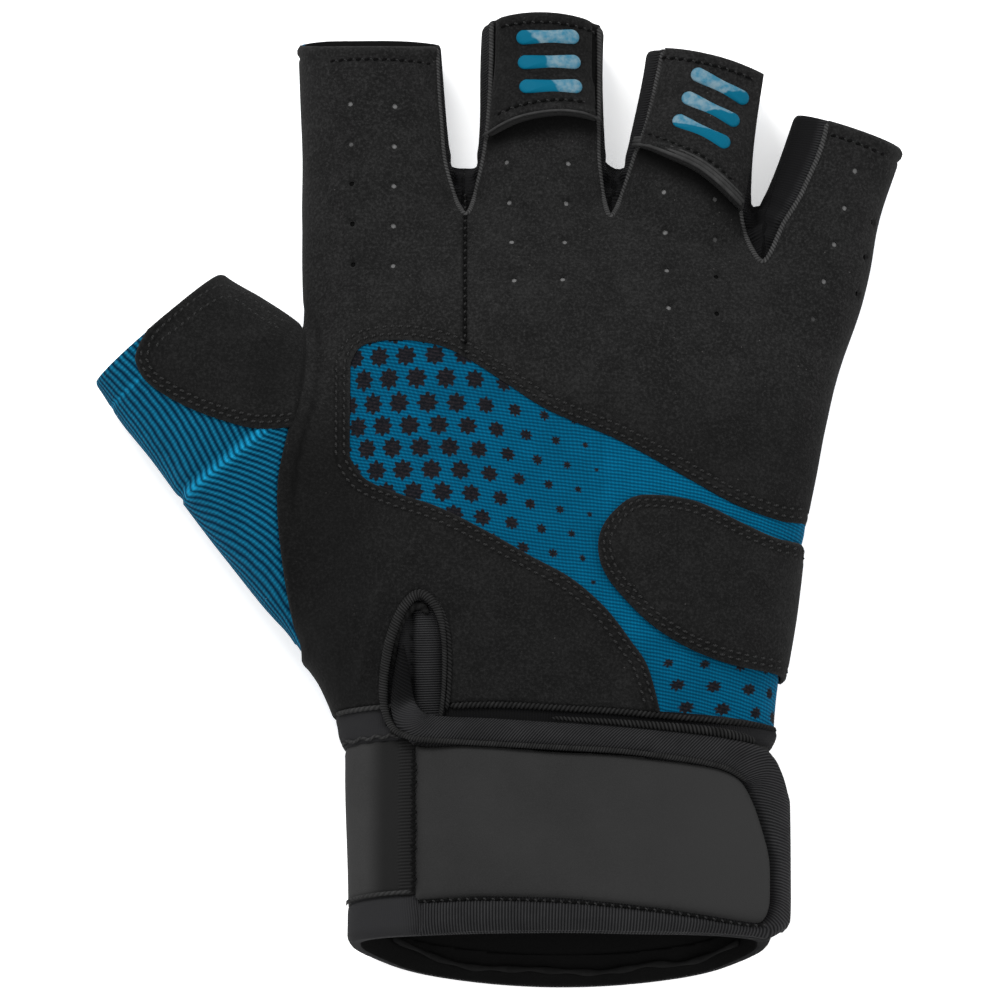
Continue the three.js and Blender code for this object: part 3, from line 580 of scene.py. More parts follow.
def on_top(xy, lift=0.0):
    """The highest point over each place that lies lift above the glove, and its normal."""
    p = np.c_[xy, np.full(len(xy), 42.0)]
    for _ in range(50):
        p[:, 2] = np.maximum(p[:, 2] - 0.9 * (glove(p) - (lift(p) if callable(lift) else lift)), 0.0)
    return p, unit(slope(glove, p, 0.5))


def raised(skin, by):
    v, n, f = skin
    return v + n * by, n, f


# ---------------------------------------------------------------- making pieces


def walled(v, inner, f):
    """A closed wall between an open surface and its inner copy."""
    edges = sides_of(f)
    code = np.sort(edges, axis=1) @ [len(v), 1]
    _, where, count = np.unique(code, return_index=True, return_counts=True)
    a, b = edges[where[count == 1]].T
    n = len(v)
    sides = np.vstack([np.c_[b, a, a + n], np.c_[b, a + n, b + n]])
    return np.vstack([v, inner]), np.vstack([f, f[:, ::-1] + n, sides])


def make(name, v, f, material, replaces=(), marks=None, lined=0):
    """A piece of the glove. With lined, that many faces after the first as many are its dark inner side."""
    mesh = bpy.data.meshes.new(name)
    mesh.from_pydata(((v + SHIFT) * MM).tolist(), [], f.tolist() if hasattr(f, "tolist") else f)
    mesh.materials.append(material)
    mesh.polygons.foreach_set("use_smooth", [True] * len(mesh.polygons))
    if lined:
        mesh.materials.append(LINING)
        inner = [int(lined <= i < 2 * lined) for i in range(len(mesh.polygons))]
        mesh.polygons.foreach_set("material_index", inner)
    for key, values in (marks or {}).items():
        layer = mesh.attributes.new(key, "FLOAT", "POINT")
        layer.data.foreach_set("value", np.asarray(values, np.float32))
    mesh.update()
    piece = bpy.data.objects.new(name, mesh)
    bpy.context.scene.collection.objects.link(piece)
    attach(piece, "root")
    if replaces:
        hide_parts(*replaces)
    return piece


def fabric(name, skin, top, material, roll=0.5, wide=0.9, thickness=0.8, replaces=(), extra=None,
           marks=None):
    """A panel of cloth: the skin lifted to top, with its edges rolled down by roll over wide."""
    far = rim(skin)
    for level in (0.35 * wide, wide):
        skin = cut(skin, lambda p, level=level: far(p) - level, both=True)
    v, n, f = skin
    edge = far(v)
    lift = top - roll * (1 - np.clip(edge / wide, 0, 1)) ** 2
    if extra is not None:
        lift = lift + extra(v, edge)
    marks = {"edge": edge, **{k: g(v) for k, g in (marks or {}).items()}}
    inner = np.minimum(top - thickness, lift - 0.12)
    count = len(f)
    v, f = walled(v + n * lift[:, None], v + n * inner[:, None], f)
    piece = make(name, v, f, material, replaces, {k: np.tile(m, 2) for k, m in marks.items()}, count)
    return piece


def even(rows, step):
    """Rows of numbers at even steps along the line that their first two make."""
    rows = np.asarray(rows, float)
    run = np.r_[0, np.cumsum(np.linalg.norm(np.diff(rows[:, :2], axis=0), axis=1))]
    at = np.linspace(0, run[-1], max(4, int(run[-1] / step) + 1))
    return np.stack([np.interp(at, run, column) for column in rows.T], 1)


def stretches(keep, least=6):
    """The runs of kept points, each as its first and last place."""
    ends = np.flatnonzero(np.diff(np.r_[0, keep.astype(int), 0])).reshape(-1, 2)
    return [(a, b) for a, b in ends if b - a >= least]


def tube(first, rings, sides):
    """The faces of a closed tube whose rings of vertices start at first."""
    faces = []
    turns = [(k, (k + 1) % sides) for k in range(sides)]
    for c in range(first, first + (rings - 1) * sides, sides):
        faces += [(c + a, c + b, c + b + sides, c + a + sides) for a, b in turns]
    last = first + (rings - 1) * sides
    return faces + [tuple(range(first, first + sides))[::-1], tuple(range(last, last + sides))]


CORD_FLATNESS = 0.85


def rope(name, paths, material, pitch=0.9, depth=0.18, lobes=2, replaces=(), low=-1.0):
    """Twisted cords, each along rows of x, y, lift above the glove and radius."""
    sides = 12
    turn = 2 * math.pi * np.arange(sides) / sides
    all_v, all_f, twist, count = [], [], [], 0
    for rows in paths:
        rows = even(rows, pitch / 4)
        p, n = on_top(rows[:, :2], rows[:, 2])
        for a, b in stretches(p[:, 2] > low):
            q, m, size = p[a:b], n[a:b], rows[a:b, 3:4]
            t = unit(np.gradient(q, axis=0))
            side = unit(np.cross(m, t))
            up = np.cross(t, side)
            run = np.r_[0, np.cumsum(np.linalg.norm(np.diff(q, axis=0), axis=1))]
            wave = np.cos(lobes * turn[None] + 2 * math.pi * run[:, None] / pitch)
            size = size * np.clip(np.minimum(run, run[-1] - run) / 0.5, 0.15, 1)[:, None]
            r = size * (1 + depth * wave)
            v = q[:, None] + side[:, None] * (r * np.cos(turn))[..., None]
            v = v + up[:, None] * (CORD_FLATNESS * r * np.sin(turn))[..., None]
            all_v.append(v.reshape(-1, 3))
            twist.append((0.5 + 0.5 * wave if depth else 1 + 0 * wave).ravel())
            all_f += tube(count, len(q), sides)
            count += len(q) * sides
    return make(name, np.vstack(all_v), all_f, material, replaces, {"twist": np.concatenate(twist)})


# ---------------------------------------------------------------- materials


class Look:
    """A material's nodes, made one by one."""

    def __init__(self, name, **settings):
        self.material = bpy.data.materials.new(name)
        self.material.use_nodes = True
        self.tree = self.material.node_tree
        self.shader = self.tree.nodes["Principled BSDF"]
        for key, value in settings.items():
            self.set(key.replace("_", " "), value)

    def set(self, key, value):
        names = {s.name.lower(): s for s in self.shader.inputs}
        self.put(names[key.lower()], value)

    def put(self, socket, value):
        if isinstance(value, bpy.types.NodeSocket):
            self.tree.links.new(value, socket)
        elif hasattr(socket.default_value, "__len__") and not hasattr(value, "__len__"):
            socket.default_value = [value] * len(socket.default_value)
        else:
            socket.default_value = value

    def node(self, kind, out=0, ins=(), **props):
        node = self.tree.nodes.new("ShaderNode" + kind)
        for key, value in props.items():
            setattr(node, key, value)
        for key, value in dict(ins).items():
            self.put(node.inputs[key], value)
        return node.outputs[out]

    def math(self, operation, a, b=0.0, c=0.0, clamp=False):
        return self.node("Math", ins={0: a, 1: b, 2: c}, operation=operation, use_clamp=clamp)

    def times(self, a, b, clamp=False):
        return self.math("MULTIPLY", a, b, clamp=clamp)

    def mark(self, name):
        return self.node("Attribute", out="Fac", attribute_name=name)

    def place(self):
        return self.node("TexCoord", out="Object")

    def noise(self, size, detail=3.0, rough=0.6, at=None):
        """Noise with features of about size millimetres."""
        ins = {"Vector": at or self.place(), "Scale": 1 / (size * MM), "Detail": detail, "Roughness": rough}
        return self.node("TexNoise", out="Fac", ins=ins)

    def ramp(self, value, *stops):
        node = self.tree.nodes.new("ShaderNodeValToRGB")
        while len(node.color_ramp.elements) < len(stops):
            node.color_ramp.elements.new(0.5)
        for element, (at, color) in zip(node.color_ramp.elements, stops):
            element.position = at
            element.color = (*color, 1) if hasattr(color, "__len__") else (color, color, color, 1)
        self.tree.links.new(value, node.inputs[0])
        return node.outputs[0]

    def mix(self, share, a, b):
        def color(x):
            return (*x, 1.0) if isinstance(x, tuple) and len(x) == 3 else x

        return self.node("Mix", out=2, ins={0: share, 6: color(a), 7: color(b)}, data_type="RGBA")

    def relief(self, height, depth, under=None):
        """Bump of depth millimetres where height goes from 0 to 1."""
        ins = {"Height": height, "Distance": depth * MM, "Strength": 1.0}
        if under is not None:
            ins["Normal"] = under
        return self.node("Bump", ins=ins)

    def ribs(self, mark, pitch, sharp=1.0):
        """Ribs from 0 to 1 across a mark that is measured in millimetres."""
        wave = self.math("SINE", self.times(mark, 2 * math.pi / pitch))
        return self.math("POWER", self.math("MULTIPLY_ADD", wave, 0.5, 0.5), sharp)


def linear(r, g, b):
    """An sRGB colour, 0 to 255, as linear numbers."""
    shares = (r / 255, g / 255, b / 255)
    return tuple(c / 12.92 if c <= 0.04045 else ((c + 0.055) / 1.055) ** 2.4 for c in shares)


def grey(tone):
    return linear(tone, tone, tone)


def scaled(color, by):
    return linear(*[c * by for c in color])


def suede_look(name, tone):
    look = Look(name, Roughness=0.95, Specular_IOR_Level=0.02)
    low, high = grey(tone * 0.82), grey(tone * 1.1)
    cloud = look.mix(look.ramp(look.noise(7.0, 5, 0.65), (0.36, 0.0), (0.66, 1.0)), low, high)
    nap = look.noise(0.5, 2, 0.75)
    cloud = look.mix(look.ramp(nap, (0.3, 0.7), (0.5, 0.0)), cloud, grey(tone * 0.55))
    cloud = look.mix(look.ramp(nap, (0.5, 0.0), (0.75, 0.8)), cloud, grey(tone * 1.7))
    blotch = look.ramp(look.noise(1.5, 3, 0.7), (0.58, 0.0), (0.72, 1.0))
    cloud = look.mix(look.times(blotch, 0.4), cloud, grey(tone * 1.6))
    patchy = look.ramp(look.noise(9.0, 2), (0.45, 0.03), (0.65, 0.09))
    speck = look.node("TexVoronoi", out="Distance", ins={"Vector": look.place(), "Scale": 1 / (1.7 * MM)})
    speck = look.times(look.math("SUBTRACT", patchy, speck), 25.0, clamp=True)
    cloud = look.mix(look.times(speck, 0.55), cloud, linear(82, 80, 79))
    # Lighter along the panels' edges: partly wear, partly a painted highlight where the rolled edges catch
    # the light.
    edge_wear_and_highlight = look.ramp(look.times(look.mark("edge"), 1.6), (0.0, 1.0), (0.5, 0.0))
    cloud = look.mix(look.times(edge_wear_and_highlight, 0.3), cloud, grey(tone * 1.8))
    # Darker by a mark: the suede's own darker tone in places, painted shade in seams and stitch lines, and a
    # painted shadow under and below the pull tabs.
    look.set("base color", look.mix(look.mark("deep"), cloud, grey(tone * 0.35)))
    look.set("sheen weight", 0.02)
    look.set("sheen roughness", 0.6)
    fuzz = look.relief(nap, 0.14)
    look.set("normal", look.relief(look.noise(3.0, 3), 0.25, fuzz))
    return look.material


def knit_look(name, dark, light, pitch, depth, print_of=None, cross=None, rows_share=0.35):
    look = Look(name, Roughness=0.85, Specular_IOR_Level=0.03)
    across = look.mark("rib")
    wobble = look.math("MULTIPLY_ADD", look.noise(2.5, 2), 0.35, across)
    rib = look.ribs(wobble, pitch, 0.8)
    color = look.mix(rib, linear(*dark), linear(*light))
    along = look.math("MULTIPLY_ADD", look.noise(2.0, 2), 0.2, look.mark("row"))
    rows = look.ribs(along, cross or pitch * 0.55, 0.8)
    color = look.mix(look.times(rows, rows_share), color, scaled(dark, 0.55))
    tone = look.noise(7.0, 3)
    color = look.mix(look.ramp(tone, (0.3, 0.25), (0.7, 0.0)), color, scaled(dark, 0.5))
    # Where the fade mark is high the ribs turn much lighter: a painted highlight on the bumps of the thumb's
    # gathered crease, and lighter along its stitched end.
    highlight_color = linear(*[min(255, c * 1.45) for c in light])
    color = look.mix(look.times(look.mark("fade"), look.math("MULTIPLY_ADD", rib, 0.7, 0.1)), color, highlight_color)
    if print_of is not None:
        grain = look.ramp(look.noise(0.5, 2, 0.7), (0.35, 0.0), (0.65, 1.0))
        dye = look.mix(grain, linear(14, 14, 16), look.mix(rib, linear(22, 20, 22), linear(36, 31, 33)))
        color = look.mix(print_of(look), color, dye)
    look.set("base color", look.mix(look.mark("deep"), color, scaled(dark, 0.4)))
    height = look.math("MULTIPLY_ADD", rows, -0.35, rib)
    look.set("normal", look.relief(height, depth))
    return look.material


# The lattice of the printed stars: from star to star, how far each row starts to the side, and its height
STAR_STEP, STAR_LEAN, STAR_ROW = 5.27, 2.0, 4.21


def star_marks(p):
    """Where each point lies in the lattice of printed stars, and how large the star there is."""
    x, y = p[:, 0], p[:, 1]
    x = x - 0.012 * np.maximum(0, -27 - x) ** 2
    lower = 0.177 * 2.5 * np.log1p(np.exp((x + 16.5) / 2.5))
    j = (59.6 - y + np.clip(0.17 * (y - 56), 0, 0.65) - lower) / STAR_ROW
    i = (x + 26.2 - STAR_LEAN * j) / STAR_STEP
    at, sizes = [-30, -19, -12, -7, -1.4, 4.1, 6.5, 7.5], [2.15, 2.0, 1.65, 1.25, 0.95, 0.7, 0.5, 0.0]
    size = np.interp(x, at, sizes)
    right = (x > 11) & (y < 22)
    j_low = (7.6 - y) / 3.96
    i_low = (x - 19.0 - 1.6 * j_low + 0.17 * np.maximum(0, x - 33.5) ** 2) / 6.6
    size_low = np.interp(y, [-6, 6, 12], [1.45, 1.25, 0.0])
    return {
        "star_u": np.where(right, i_low, i), "star_v": np.where(right, j_low, j),
        "star_size": np.where(right, size_low, size),
    }


def stars(look):
    """Eight-pointed stars, large at the thumb's side, that shrink away and come back at the wrist."""
    u, v = look.mark("star_u"), look.mark("star_v")
    du = look.math("SUBTRACT", u, look.math("ROUND", u))
    dv = look.math("SUBTRACT", v, look.math("ROUND", v))
    dx = look.math("MULTIPLY_ADD", du, STAR_STEP, look.times(dv, STAR_LEAN))
    dy = look.times(dv, STAR_ROW)
    far = look.math("SQRT", look.math("ADD", look.times(dx, dx), look.times(dy, dy)))
    turn = look.times(look.math("ARCTAN2", dy, dx), 8.0)
    point = look.math("MULTIPLY_ADD", look.math("COSINE", turn), 0.13, 0.87)
    size = look.mark("star_size")
    reach = look.times(size, point)
    ragged = look.math("MULTIPLY_ADD", look.noise(0.45, 2), 0.7, -0.35)
    gap = look.math("SUBTRACT", look.math("ADD", reach, ragged), far)
    shown = look.math("GREATER_THAN", size, 0.35)
    return look.times(look.times(gap, 4.0, clamp=True), shown, clamp=True)


def band_look(name, dark, light, pitch, depth, rough=0.9):
    """Ribbed tape: ribs across the mark run, that fade where the mark fade is high."""
    look = Look(name, Roughness=rough, Specular_IOR_Level=0.03)
    rib = look.ribs(look.mark("run"), pitch, 0.9)
    color = look.mix(rib, linear(*dark), linear(*light))
    color = look.mix(look.ramp(look.noise(5.0, 3), (0.3, 0.3), (0.7, 0.0)), color, scaled(dark, 0.6))
    fade = look.mark("fade")
    plain = linear(*[(a + b) / 2 * 1.12 for a, b in zip(dark, light)])
    color = look.mix(look.times(fade, 0.9), color, plain)
    # Darker by a mark: painted shade at the web between the fingers, in grooves, inside the strap binding's
    # curl and in the gap where the wrist elastic lies, and less dark where the binding bends, a painted
    # highlight.
    look.set("base color", look.mix(look.mark("deep"), color, scaled(dark, 0.45)))
    soft = look.times(rib, look.math("SUBTRACT", 1.0, look.times(fade, 0.9)))
    look.set("normal", look.relief(look.noise(0.25, 2), 0.05, look.relief(soft, depth)))
    return look.material


def rope_look(name, dark, light):
    """Twisted or ribbed cord, dark in its grooves."""
    look = Look(name, Roughness=0.9, Specular_IOR_Level=0.03)
    twist = look.ramp(look.mark("twist"), (0.2, 0.0), (0.8, 1.0))
    color = look.mix(twist, grey(dark), grey(light))
    color = look.mix(look.ramp(look.noise(2.2, 3), (0.35, 0.45), (0.65, 0.0)), color, grey(dark * 0.9))
    look.set("base color", color)
    look.set("normal", look.relief(look.noise(0.22, 2), 0.05))
    return look.material


def smooth_look(name, tone, rough, grain, depth, side_tone=None):
    """Fine smooth cloth. With side_tone it turns to that tone where the mark shade is high: painted shade on
    the cuff by the strap's root and on its thumb side, painted light on the strap's right side, and the dark
    air holes.
    """
    look = Look(name, Roughness=rough, Specular_IOR_Level=0.04)
    cloudy = look.ramp(look.noise(14.0, 4), (0.3, 0.0), (0.7, 1.0))
    color = look.mix(cloudy, grey(tone * 0.93), grey(tone * 1.05))
    fine = look.noise(grain, 2, 0.7)
    color = look.mix(look.times(look.ramp(fine, (0.4, 0.0), (0.7, 1.0)), 0.3), color, grey(tone * 1.25))
    if side_tone is not None:
        color = look.mix(look.mark("shade"), color, grey(side_tone))
        strip = look.mix(look.ribs(look.mark("run"), 0.6), grey(side_tone * 0.65), grey(side_tone * 1.2))
        color = look.mix(look.mark("strip"), color, strip)
    look.set("base color", color)
    look.set("normal", look.relief(look.noise(6.0, 2), 0.15, look.relief(fine, depth)))
    return look.material


def silicone_look():
    look = Look("silicone", Roughness=0.6, Specular_IOR_Level=0.05)
    # The pale part of each bar is a painted reflection of a softbox, whose border waves along the bar.
    blob = look.noise(2.6, 2)
    side = look.math("ADD", look.mark("share"), look.math("MULTIPLY_ADD", blob, 0.34, -0.17))
    light = look.ramp(side, (0.47, 0.0), (0.52, 1.0))
    cloudy = look.ramp(look.noise(1.4, 2), (0.35, 0.0), (0.65, 1.0))
    clear = look.mix(cloudy, linear(48, 100, 122), linear(98, 122, 133))
    look.set("base color", look.mix(light, linear(0, 80, 104), clear))
    look.set("normal", look.relief(look.noise(0.9, 2), 0.06))
    return look.material


def thread_look(name, tone):
    look = Look(name, Roughness=0.85, Specular_IOR_Level=0.04)
    twist = look.ribs(look.mark("run"), 0.45)
    look.set("base color", look.mix(twist, grey(tone * 0.6), grey(tone)))
    look.set("normal", look.relief(twist, 0.08))
    return look.material


SUEDE = suede_look("suede", 25)
INSERT = knit_look("printed_knit", (0, 58, 87), (2, 93, 127), 0.65, 0.12, stars, 0.64, 0.3)
THUMB_KNIT = knit_look("rib_knit", (0, 30, 55), (16, 104, 137), 1.2, 0.35)
BACK = knit_look("back_knit", (0, 50, 78), (4, 84, 118), 0.95, 0.2)
GUSSET = band_look("gusset_knit", (16, 16, 17), (44, 44, 45), 0.5, 0.12)
SLIT_KNIT = band_look("slit_knit", (17, 17, 18), (50, 50, 51), 0.42, 0.15)
BINDING = band_look("binding", (18, 18, 19), (48, 48, 49), 0.56, 0.18)
ELASTIC = band_look("elastic", (26, 26, 27), (38, 38, 39), 0.55, 0.08)
NEOPRENE = smooth_look("neoprene", 44, 0.85, 0.3, 0.05, 27)
STRAP = smooth_look("strap_cloth", 38, 0.8, 0.25, 0.04, 42)
SILICONE = silicone_look()
THREAD = thread_look("thread", 48)
THREAD_DARK = thread_look("thread_dark", 12)
HOLE = smooth_look("hole_lining", 98, 0.9, 0.3, 0.04, 9)
LINING = smooth_look("lining", 17, 0.95, 0.5, 0.08)
CORD = rope_look("cord", 12, 39)
BOUND_EDGE = rope_look("bound_edge", 16, 44)
PIPING = rope_look("piping", 34, 70)
RIDGE = rope_look("ridge", 32, 54)
FOLD = rope_look("fold", 14, 27)

# ---------------------------------------------------------------- outlines

insert_line = Line(np.vstack([on_hand(INSERT_TOP), [hand_point(0.62, -0.05)], on_hand(INSERT_BOTTOM)]))
heel_line = Line(on_hand(HEEL_PATCH))
thumb_line = Line(np.vstack([on_hand(THUMB_SEAM), [hand_point(-1.2, 0), hand_point(-1.2, 1.2)]]))
patch_line = Line(on_hand(THUMB_PATCH))
index_line = Line(np.vstack([
    [hand_point(-0.62, 2), hand_point(-0.182, 2)], on_hand(INDEX_SEAM),
    [hand_point(-0.182, 0.6), hand_point(0.3, 0.3), hand_point(0.3, -0.1), hand_point(-0.62, -0.1)],
]))
index_seam = Line(on_hand(INDEX_SEAM), closed=False)
gusset_lines = {k: Line(on_hand(rows)) for k, rows in FOURCHETTES.items()}
panel_line = Line(on_cuff(STRAP_PANEL))
binding_line = Line(np.vstack([
    on_cuff(STRAP_EDGE), on_cuff([(-0.342, -0.84), (-0.25, -0.84)]), on_cuff(STRAP_TOP)[::-1],
]))
slit_line = Line(on_hand(SLIT))
binding_middle = Line(spline(BINDING_MIDDLE, 10), closed=False)


def finger_end(name, p):
    """How far each point lies before a finger's opening; points of other fingers are far."""
    length, width = FINGERS[name][3:]
    rear, lean, bow = OPENINGS[name]
    along, across = on_finger(name, p)
    end = length + rear * np.maximum(0, FINGER_THICKNESS - p[:, 2])
    end = end + bow * width * (1 - (across / (width / 2)) ** 2) - lean * across
    return np.where((np.abs(across) < 0.5 * width + 4) & (along > 0.5 * length), end - along, 50.0)


def tab_line(name):
    length, width = FINGERS[name][3:5]
    free = spline(TABS[name][0]) * [width, TAB_LENGTH]
    edge = from_finger(name, length - free[:, 1], free[:, 0])
    ends = from_finger(name, np.array([length + 6, length + 6]), np.array([0.62, -0.62]) * width)
    return Line(np.vstack([ends, edge])), Line(edge, closed=False)


def openings(p):
    along, across = on_thumb(p)
    end = 0.6 - 0.085 * p[:, 2]
    gap = np.where((np.abs(across) < 24) & (along > -12), end - along, 50.0)
    for name in FINGERS:
        gap = np.minimum(gap, finger_end(name, p))
    return gap


def cuff_depth(p):
    """How far down from the wrist seam each point lies, measured along the lobed cuff."""
    height = np.clip(p[:, 2] / CUFF_THICKNESS, 0, 1)
    front = 0.4 * np.sqrt(np.maximum(0, 2 * height - 1))
    arc = np.maximum(0, 1 - (p[:, 0] / (0.52 * CUFF_WIDTH)) ** 2)
    back = 6.0 * np.maximum(0, 1 - 2 * height) ** 0.7 * arc
    down = -p[:, 1]
    for _ in range(4):
        lobe = np.clip((down / CUFF_LENGTH - 0.2) / 0.4, 0, 1)
        down = -p[:, 1] - lobe * (front + back)
    return down


# ---------------------------------------------------------------- the body's skin, and its parts

def wrist(p):
    """The wrist seam's height on the palm side, which falls to the little finger's side."""
    return np.interp(p[:, 0], [-12.0, 15.0, 38.0], [0.3, -1.4, -2.5]) * ease(p[:, 2], 6, 12)


def hem_top(p):
    """How far down the hem begins: higher up on the palm side by the thumb."""
    return CUFF_LENGTH - HEM_WIDTH - 1.8 * ease(-p[:, 0], 18, 25) * ease(p[:, 2], 8, 14)


whole = skin_of(glove, (-92, -54, -2), (64, 136, 36), GRID)
hand = cut(cut(whole, lambda p: p[:, 1] - wrist(p)), openings)
front = cut(hand, lambda p: p[:, 2] - BACK_SEAM)
back = cut(cut(hand, lambda p: BACK_SEAM + 0.9 - p[:, 2]), lambda p: -thumb_line.depth(p) - 0.15)
GUSSET_FLOOR = 2.2
for line in gusset_lines.values():
    back = cut(back, lambda p, line=line: np.maximum(-line.depth(p), GUSSET_FLOOR - p[:, 2]) - 0.1)
thumb_skin = cut(cut(hand, lambda p: -30 - p[:, 0]), lambda p: thumb_line.depth(p) + 0.8)
for key, line in gusset_lines.items():
    front = cut(front, lambda p, line=line: -line.depth(p) - 0.1)
gusset_skins = {
    key: cut(cut(hand, lambda p: p[:, 2] - GUSSET_FLOOR + 0.8), lambda p, line=line: line.depth(p) + 0.6)
    for key, line in gusset_lines.items()
}
palm = cut(front, lambda p: -thumb_line.depth(p) - 0.15)
insert = cut(palm, lambda p: insert_line.depth(p) + 1.6)
suede = cut(palm, lambda p: -insert_line.depth(p))


def hem_rise(p):
    """The turned hem at an opening: a soft roll and the groove that its stitches pull."""
    gap = openings(p)
    return 0.22 * ease(gap, 0, 0.8) * (1 - ease(gap, 1.6, 2.4)) - 0.22 * bump(gap - 2.5, 0.45)


def twice(gap, rows, width):
    """1 on each of two rows of stitches at these distances."""
    return bump(gap - rows[0], width) + bump(gap - rows[1], width)


def palm_rise(p, edge):
    """Grooves of the double stitching round the printed knit, and the seam beside the thumb."""
    gap = -insert_line.depth(p)
    rise = -0.16 * twice(gap, INSERT_ROWS, 0.4) + hem_rise(p)
    seam = -thumb_line.depth(p)
    rise += 0.2 * bump(seam - 1.2, 0.7) - 0.5 * seam_groove(p)
    return rise - 0.3 * bump(index_seam.near(p)[0], 0.6)


def seam_groove(p):
    """The groove in the suede beside the thumb."""
    return bump(-thumb_line.depth(p) - 3.1, 0.55) * ease(p[:, 1], 32, 40) * (1 - ease(p[:, 1], 72, 78))


def palm_deep(p):
    """How dark the palm's suede is: darker by the thumb's root, with painted shade in the seams and stitch
    lines, and a painted shadow under and below the tabs.
    """
    gap = -insert_line.depth(p)
    low = ease(-p[:, 1], -66, -44)
    # Darker towards the thumb's root, with painted shade in the groove beside the thumb.
    deep = 0.36 * low + 0.26 * low * ease(-p[:, 0], 28, 40) + 0.35 * seam_groove(p)
    # Painted shade along the index seam and in the rows of stitches round the printed knit.
    deep = deep + 0.55 * bump(index_seam.near(p)[0], 0.32) + 0.4 * twice(gap, INSERT_ROWS, 0.34)
    # A painted shadow on the suede under each pull tab and for a few millimetres below its free edge.
    for name in TABS:
        outline, free = tab_line(name)
        length, width = FINGERS[name][3:5]
        along, across = on_finger(name, p)
        on = (along > 0.2 * length) & (np.abs(across) < 0.6 * width)
        far = np.where(outline.inside(p), 0.0, free.near(p)[0])
        deep = np.where(on, np.maximum(deep, 0.9 * (1 - ease(far, 1.0, 4.8))), deep)
    return np.clip(deep, 0, 0.9)


def holes():
    spots = [(x + i * dx, y + i * dy) for x, y, dx, dy, count in PERFORATIONS for i in range(count)]
    return np.array(spots) * [PALM_WIDTH, HAND_LENGTH]


HOLES, HOLE_NORMALS = on_top(holes())
HOLE_RADIUS = 0.48


def from_hole(p):
    r = p[:, None] - HOLES[None]
    far = np.linalg.norm(r, axis=2)
    best = far.argmin(1)
    return far[np.arange(len(p)), best], r[np.arange(len(p)), best]


def punched(skin):
    """The skin with its air holes."""
    for turn in (0, 60, 120):
        c, s = math.cos(math.radians(turn)), math.sin(math.radians(turn))

        def spoke(p, c=c, s=s):
            far, r = from_hole(p)
            return np.where(far < 1.4, r[:, :2] @ [c, s], 1.0)

        skin = cut(skin, spoke, both=True)
    skin = cut(skin, lambda p: from_hole(p)[0] - HOLE_RADIUS - 0.35, both=True)
    return cut(skin, lambda p: from_hole(p)[0] - HOLE_RADIUS)


thenar = cut(punched(cut(suede, index_line.depth)), lambda p: 0.9 - slit_line.depth(p))
upper = punched(cut(suede, lambda p: -index_line.depth(p) + 0.25))

fabric("palm_suede_index", thenar, 0.3, SUEDE, thickness=0.7, replaces=["index_thenar_panel"],
       extra=palm_rise, marks={"deep": palm_deep})
fabric("palm_suede_upper", upper, 0.3, SUEDE, thickness=0.7, replaces=["upper_palm_panel"],
       extra=palm_rise, marks={"deep": palm_deep})
fabric("palm_knit", insert, -0.5, INSERT, roll=0.0, thickness=0.7,
       replaces=["palm_knit_insert"],
       extra=lambda p, e: 1.0 * ease(p[:, 0], 41, 45) * bump(p[:, 1] - 33, 4),
       marks={"rib": lambda p: p[:, 1] + 0.1 * p[:, 0] + 0.002 * p[:, 0] * np.abs(p[:, 0]),
              "row": lambda p: p[:, 0] * (1 + 0.006 * (30 - p[:, 1])) + 0.1 * p[:, 1],
              "deep": lambda p: 0.12 * (star_marks(p)["star_size"] > 0),
              **{key: lambda p, key=key: star_marks(p)[key] for key in ("star_u", "star_v", "star_size")}})
fabric("hand_back", back, -0.1, BACK, roll=0.4, thickness=0.9, replaces=["back_panel"],
       extra=lambda p, e: hem_rise(p) - 0.4 * ease(p[:, 2], BACK_SEAM - 0.4, BACK_SEAM + 0.3),
       marks={"rib": lambda p: p[:, 1], "row": lambda p: p[:, 0]})


CREASE = np.array([-48.3, 53.4]), np.array([-67.2, 40.0])


def thumb_rib(p):
    """Ribs that bend at the crease across the thumb's root."""
    start, end = CREASE
    f = (end - start) / np.linalg.norm(end - start)
    r = p[:, :2] - start
    above = f[0] * r[:, 1] - f[1] * r[:, 0] < 0
    out = np.zeros(len(p))
    for part, d, bend in ((above, (0.36, -0.93), -0.008), (~above, (0.95, -0.31), -0.01)):
        s, t = np.linalg.solve(np.c_[f, d], r[part].T)
        out[part] = s + bend * t * t
    along, across = on_thumb(p)
    left, right = (np.interp(along / THUMB_LENGTH, THUMB[:, 0], THUMB[:, i]) * THUMB_WIDTH for i in (1, 2))
    across = across - (left + right) / 2
    under = np.maximum(0, (right - left) / 2 - np.abs(across)) * np.clip(3 - p[:, 2] / 3, 0, 1)
    down = np.maximum(0, 18 - p[:, 2])
    return out - np.sign(across) * (2 * under + np.where(down < 7, down * down / 14, down - 3.5))


crease_line = Line(spline([
    (-48.2, 56.5), (-52.5, 51.8), (-58.0, 47.2), (-63.5, 43.0), (-67.2, 40.4),
]), closed=False)


def gathers(p):
    """The bumpy gathered row along the crease."""
    gap, along = crease_line.near(p)
    return bump(gap, 1.0) * (0.75 + 0.25 * np.cos(along * 2 * math.pi / 1.2)) * ease(p[:, 2], 7, 12)


def thumb_rise(p, edge):
    """The gathered crease, the stitched end, and the edge that sinks below the palm."""
    crease = 0.5 * gathers(p) - 0.4 * bump(crease_line.beside(p)[0] + 1.6, 0.8)
    crease = crease - 0.25 * bump(openings(p) - 5.5, 0.4)
    return ease(p[:, 2], 5, 10) * crease - 0.4 * (1 - ease(thumb_line.depth(p), -0.2, 0.5))


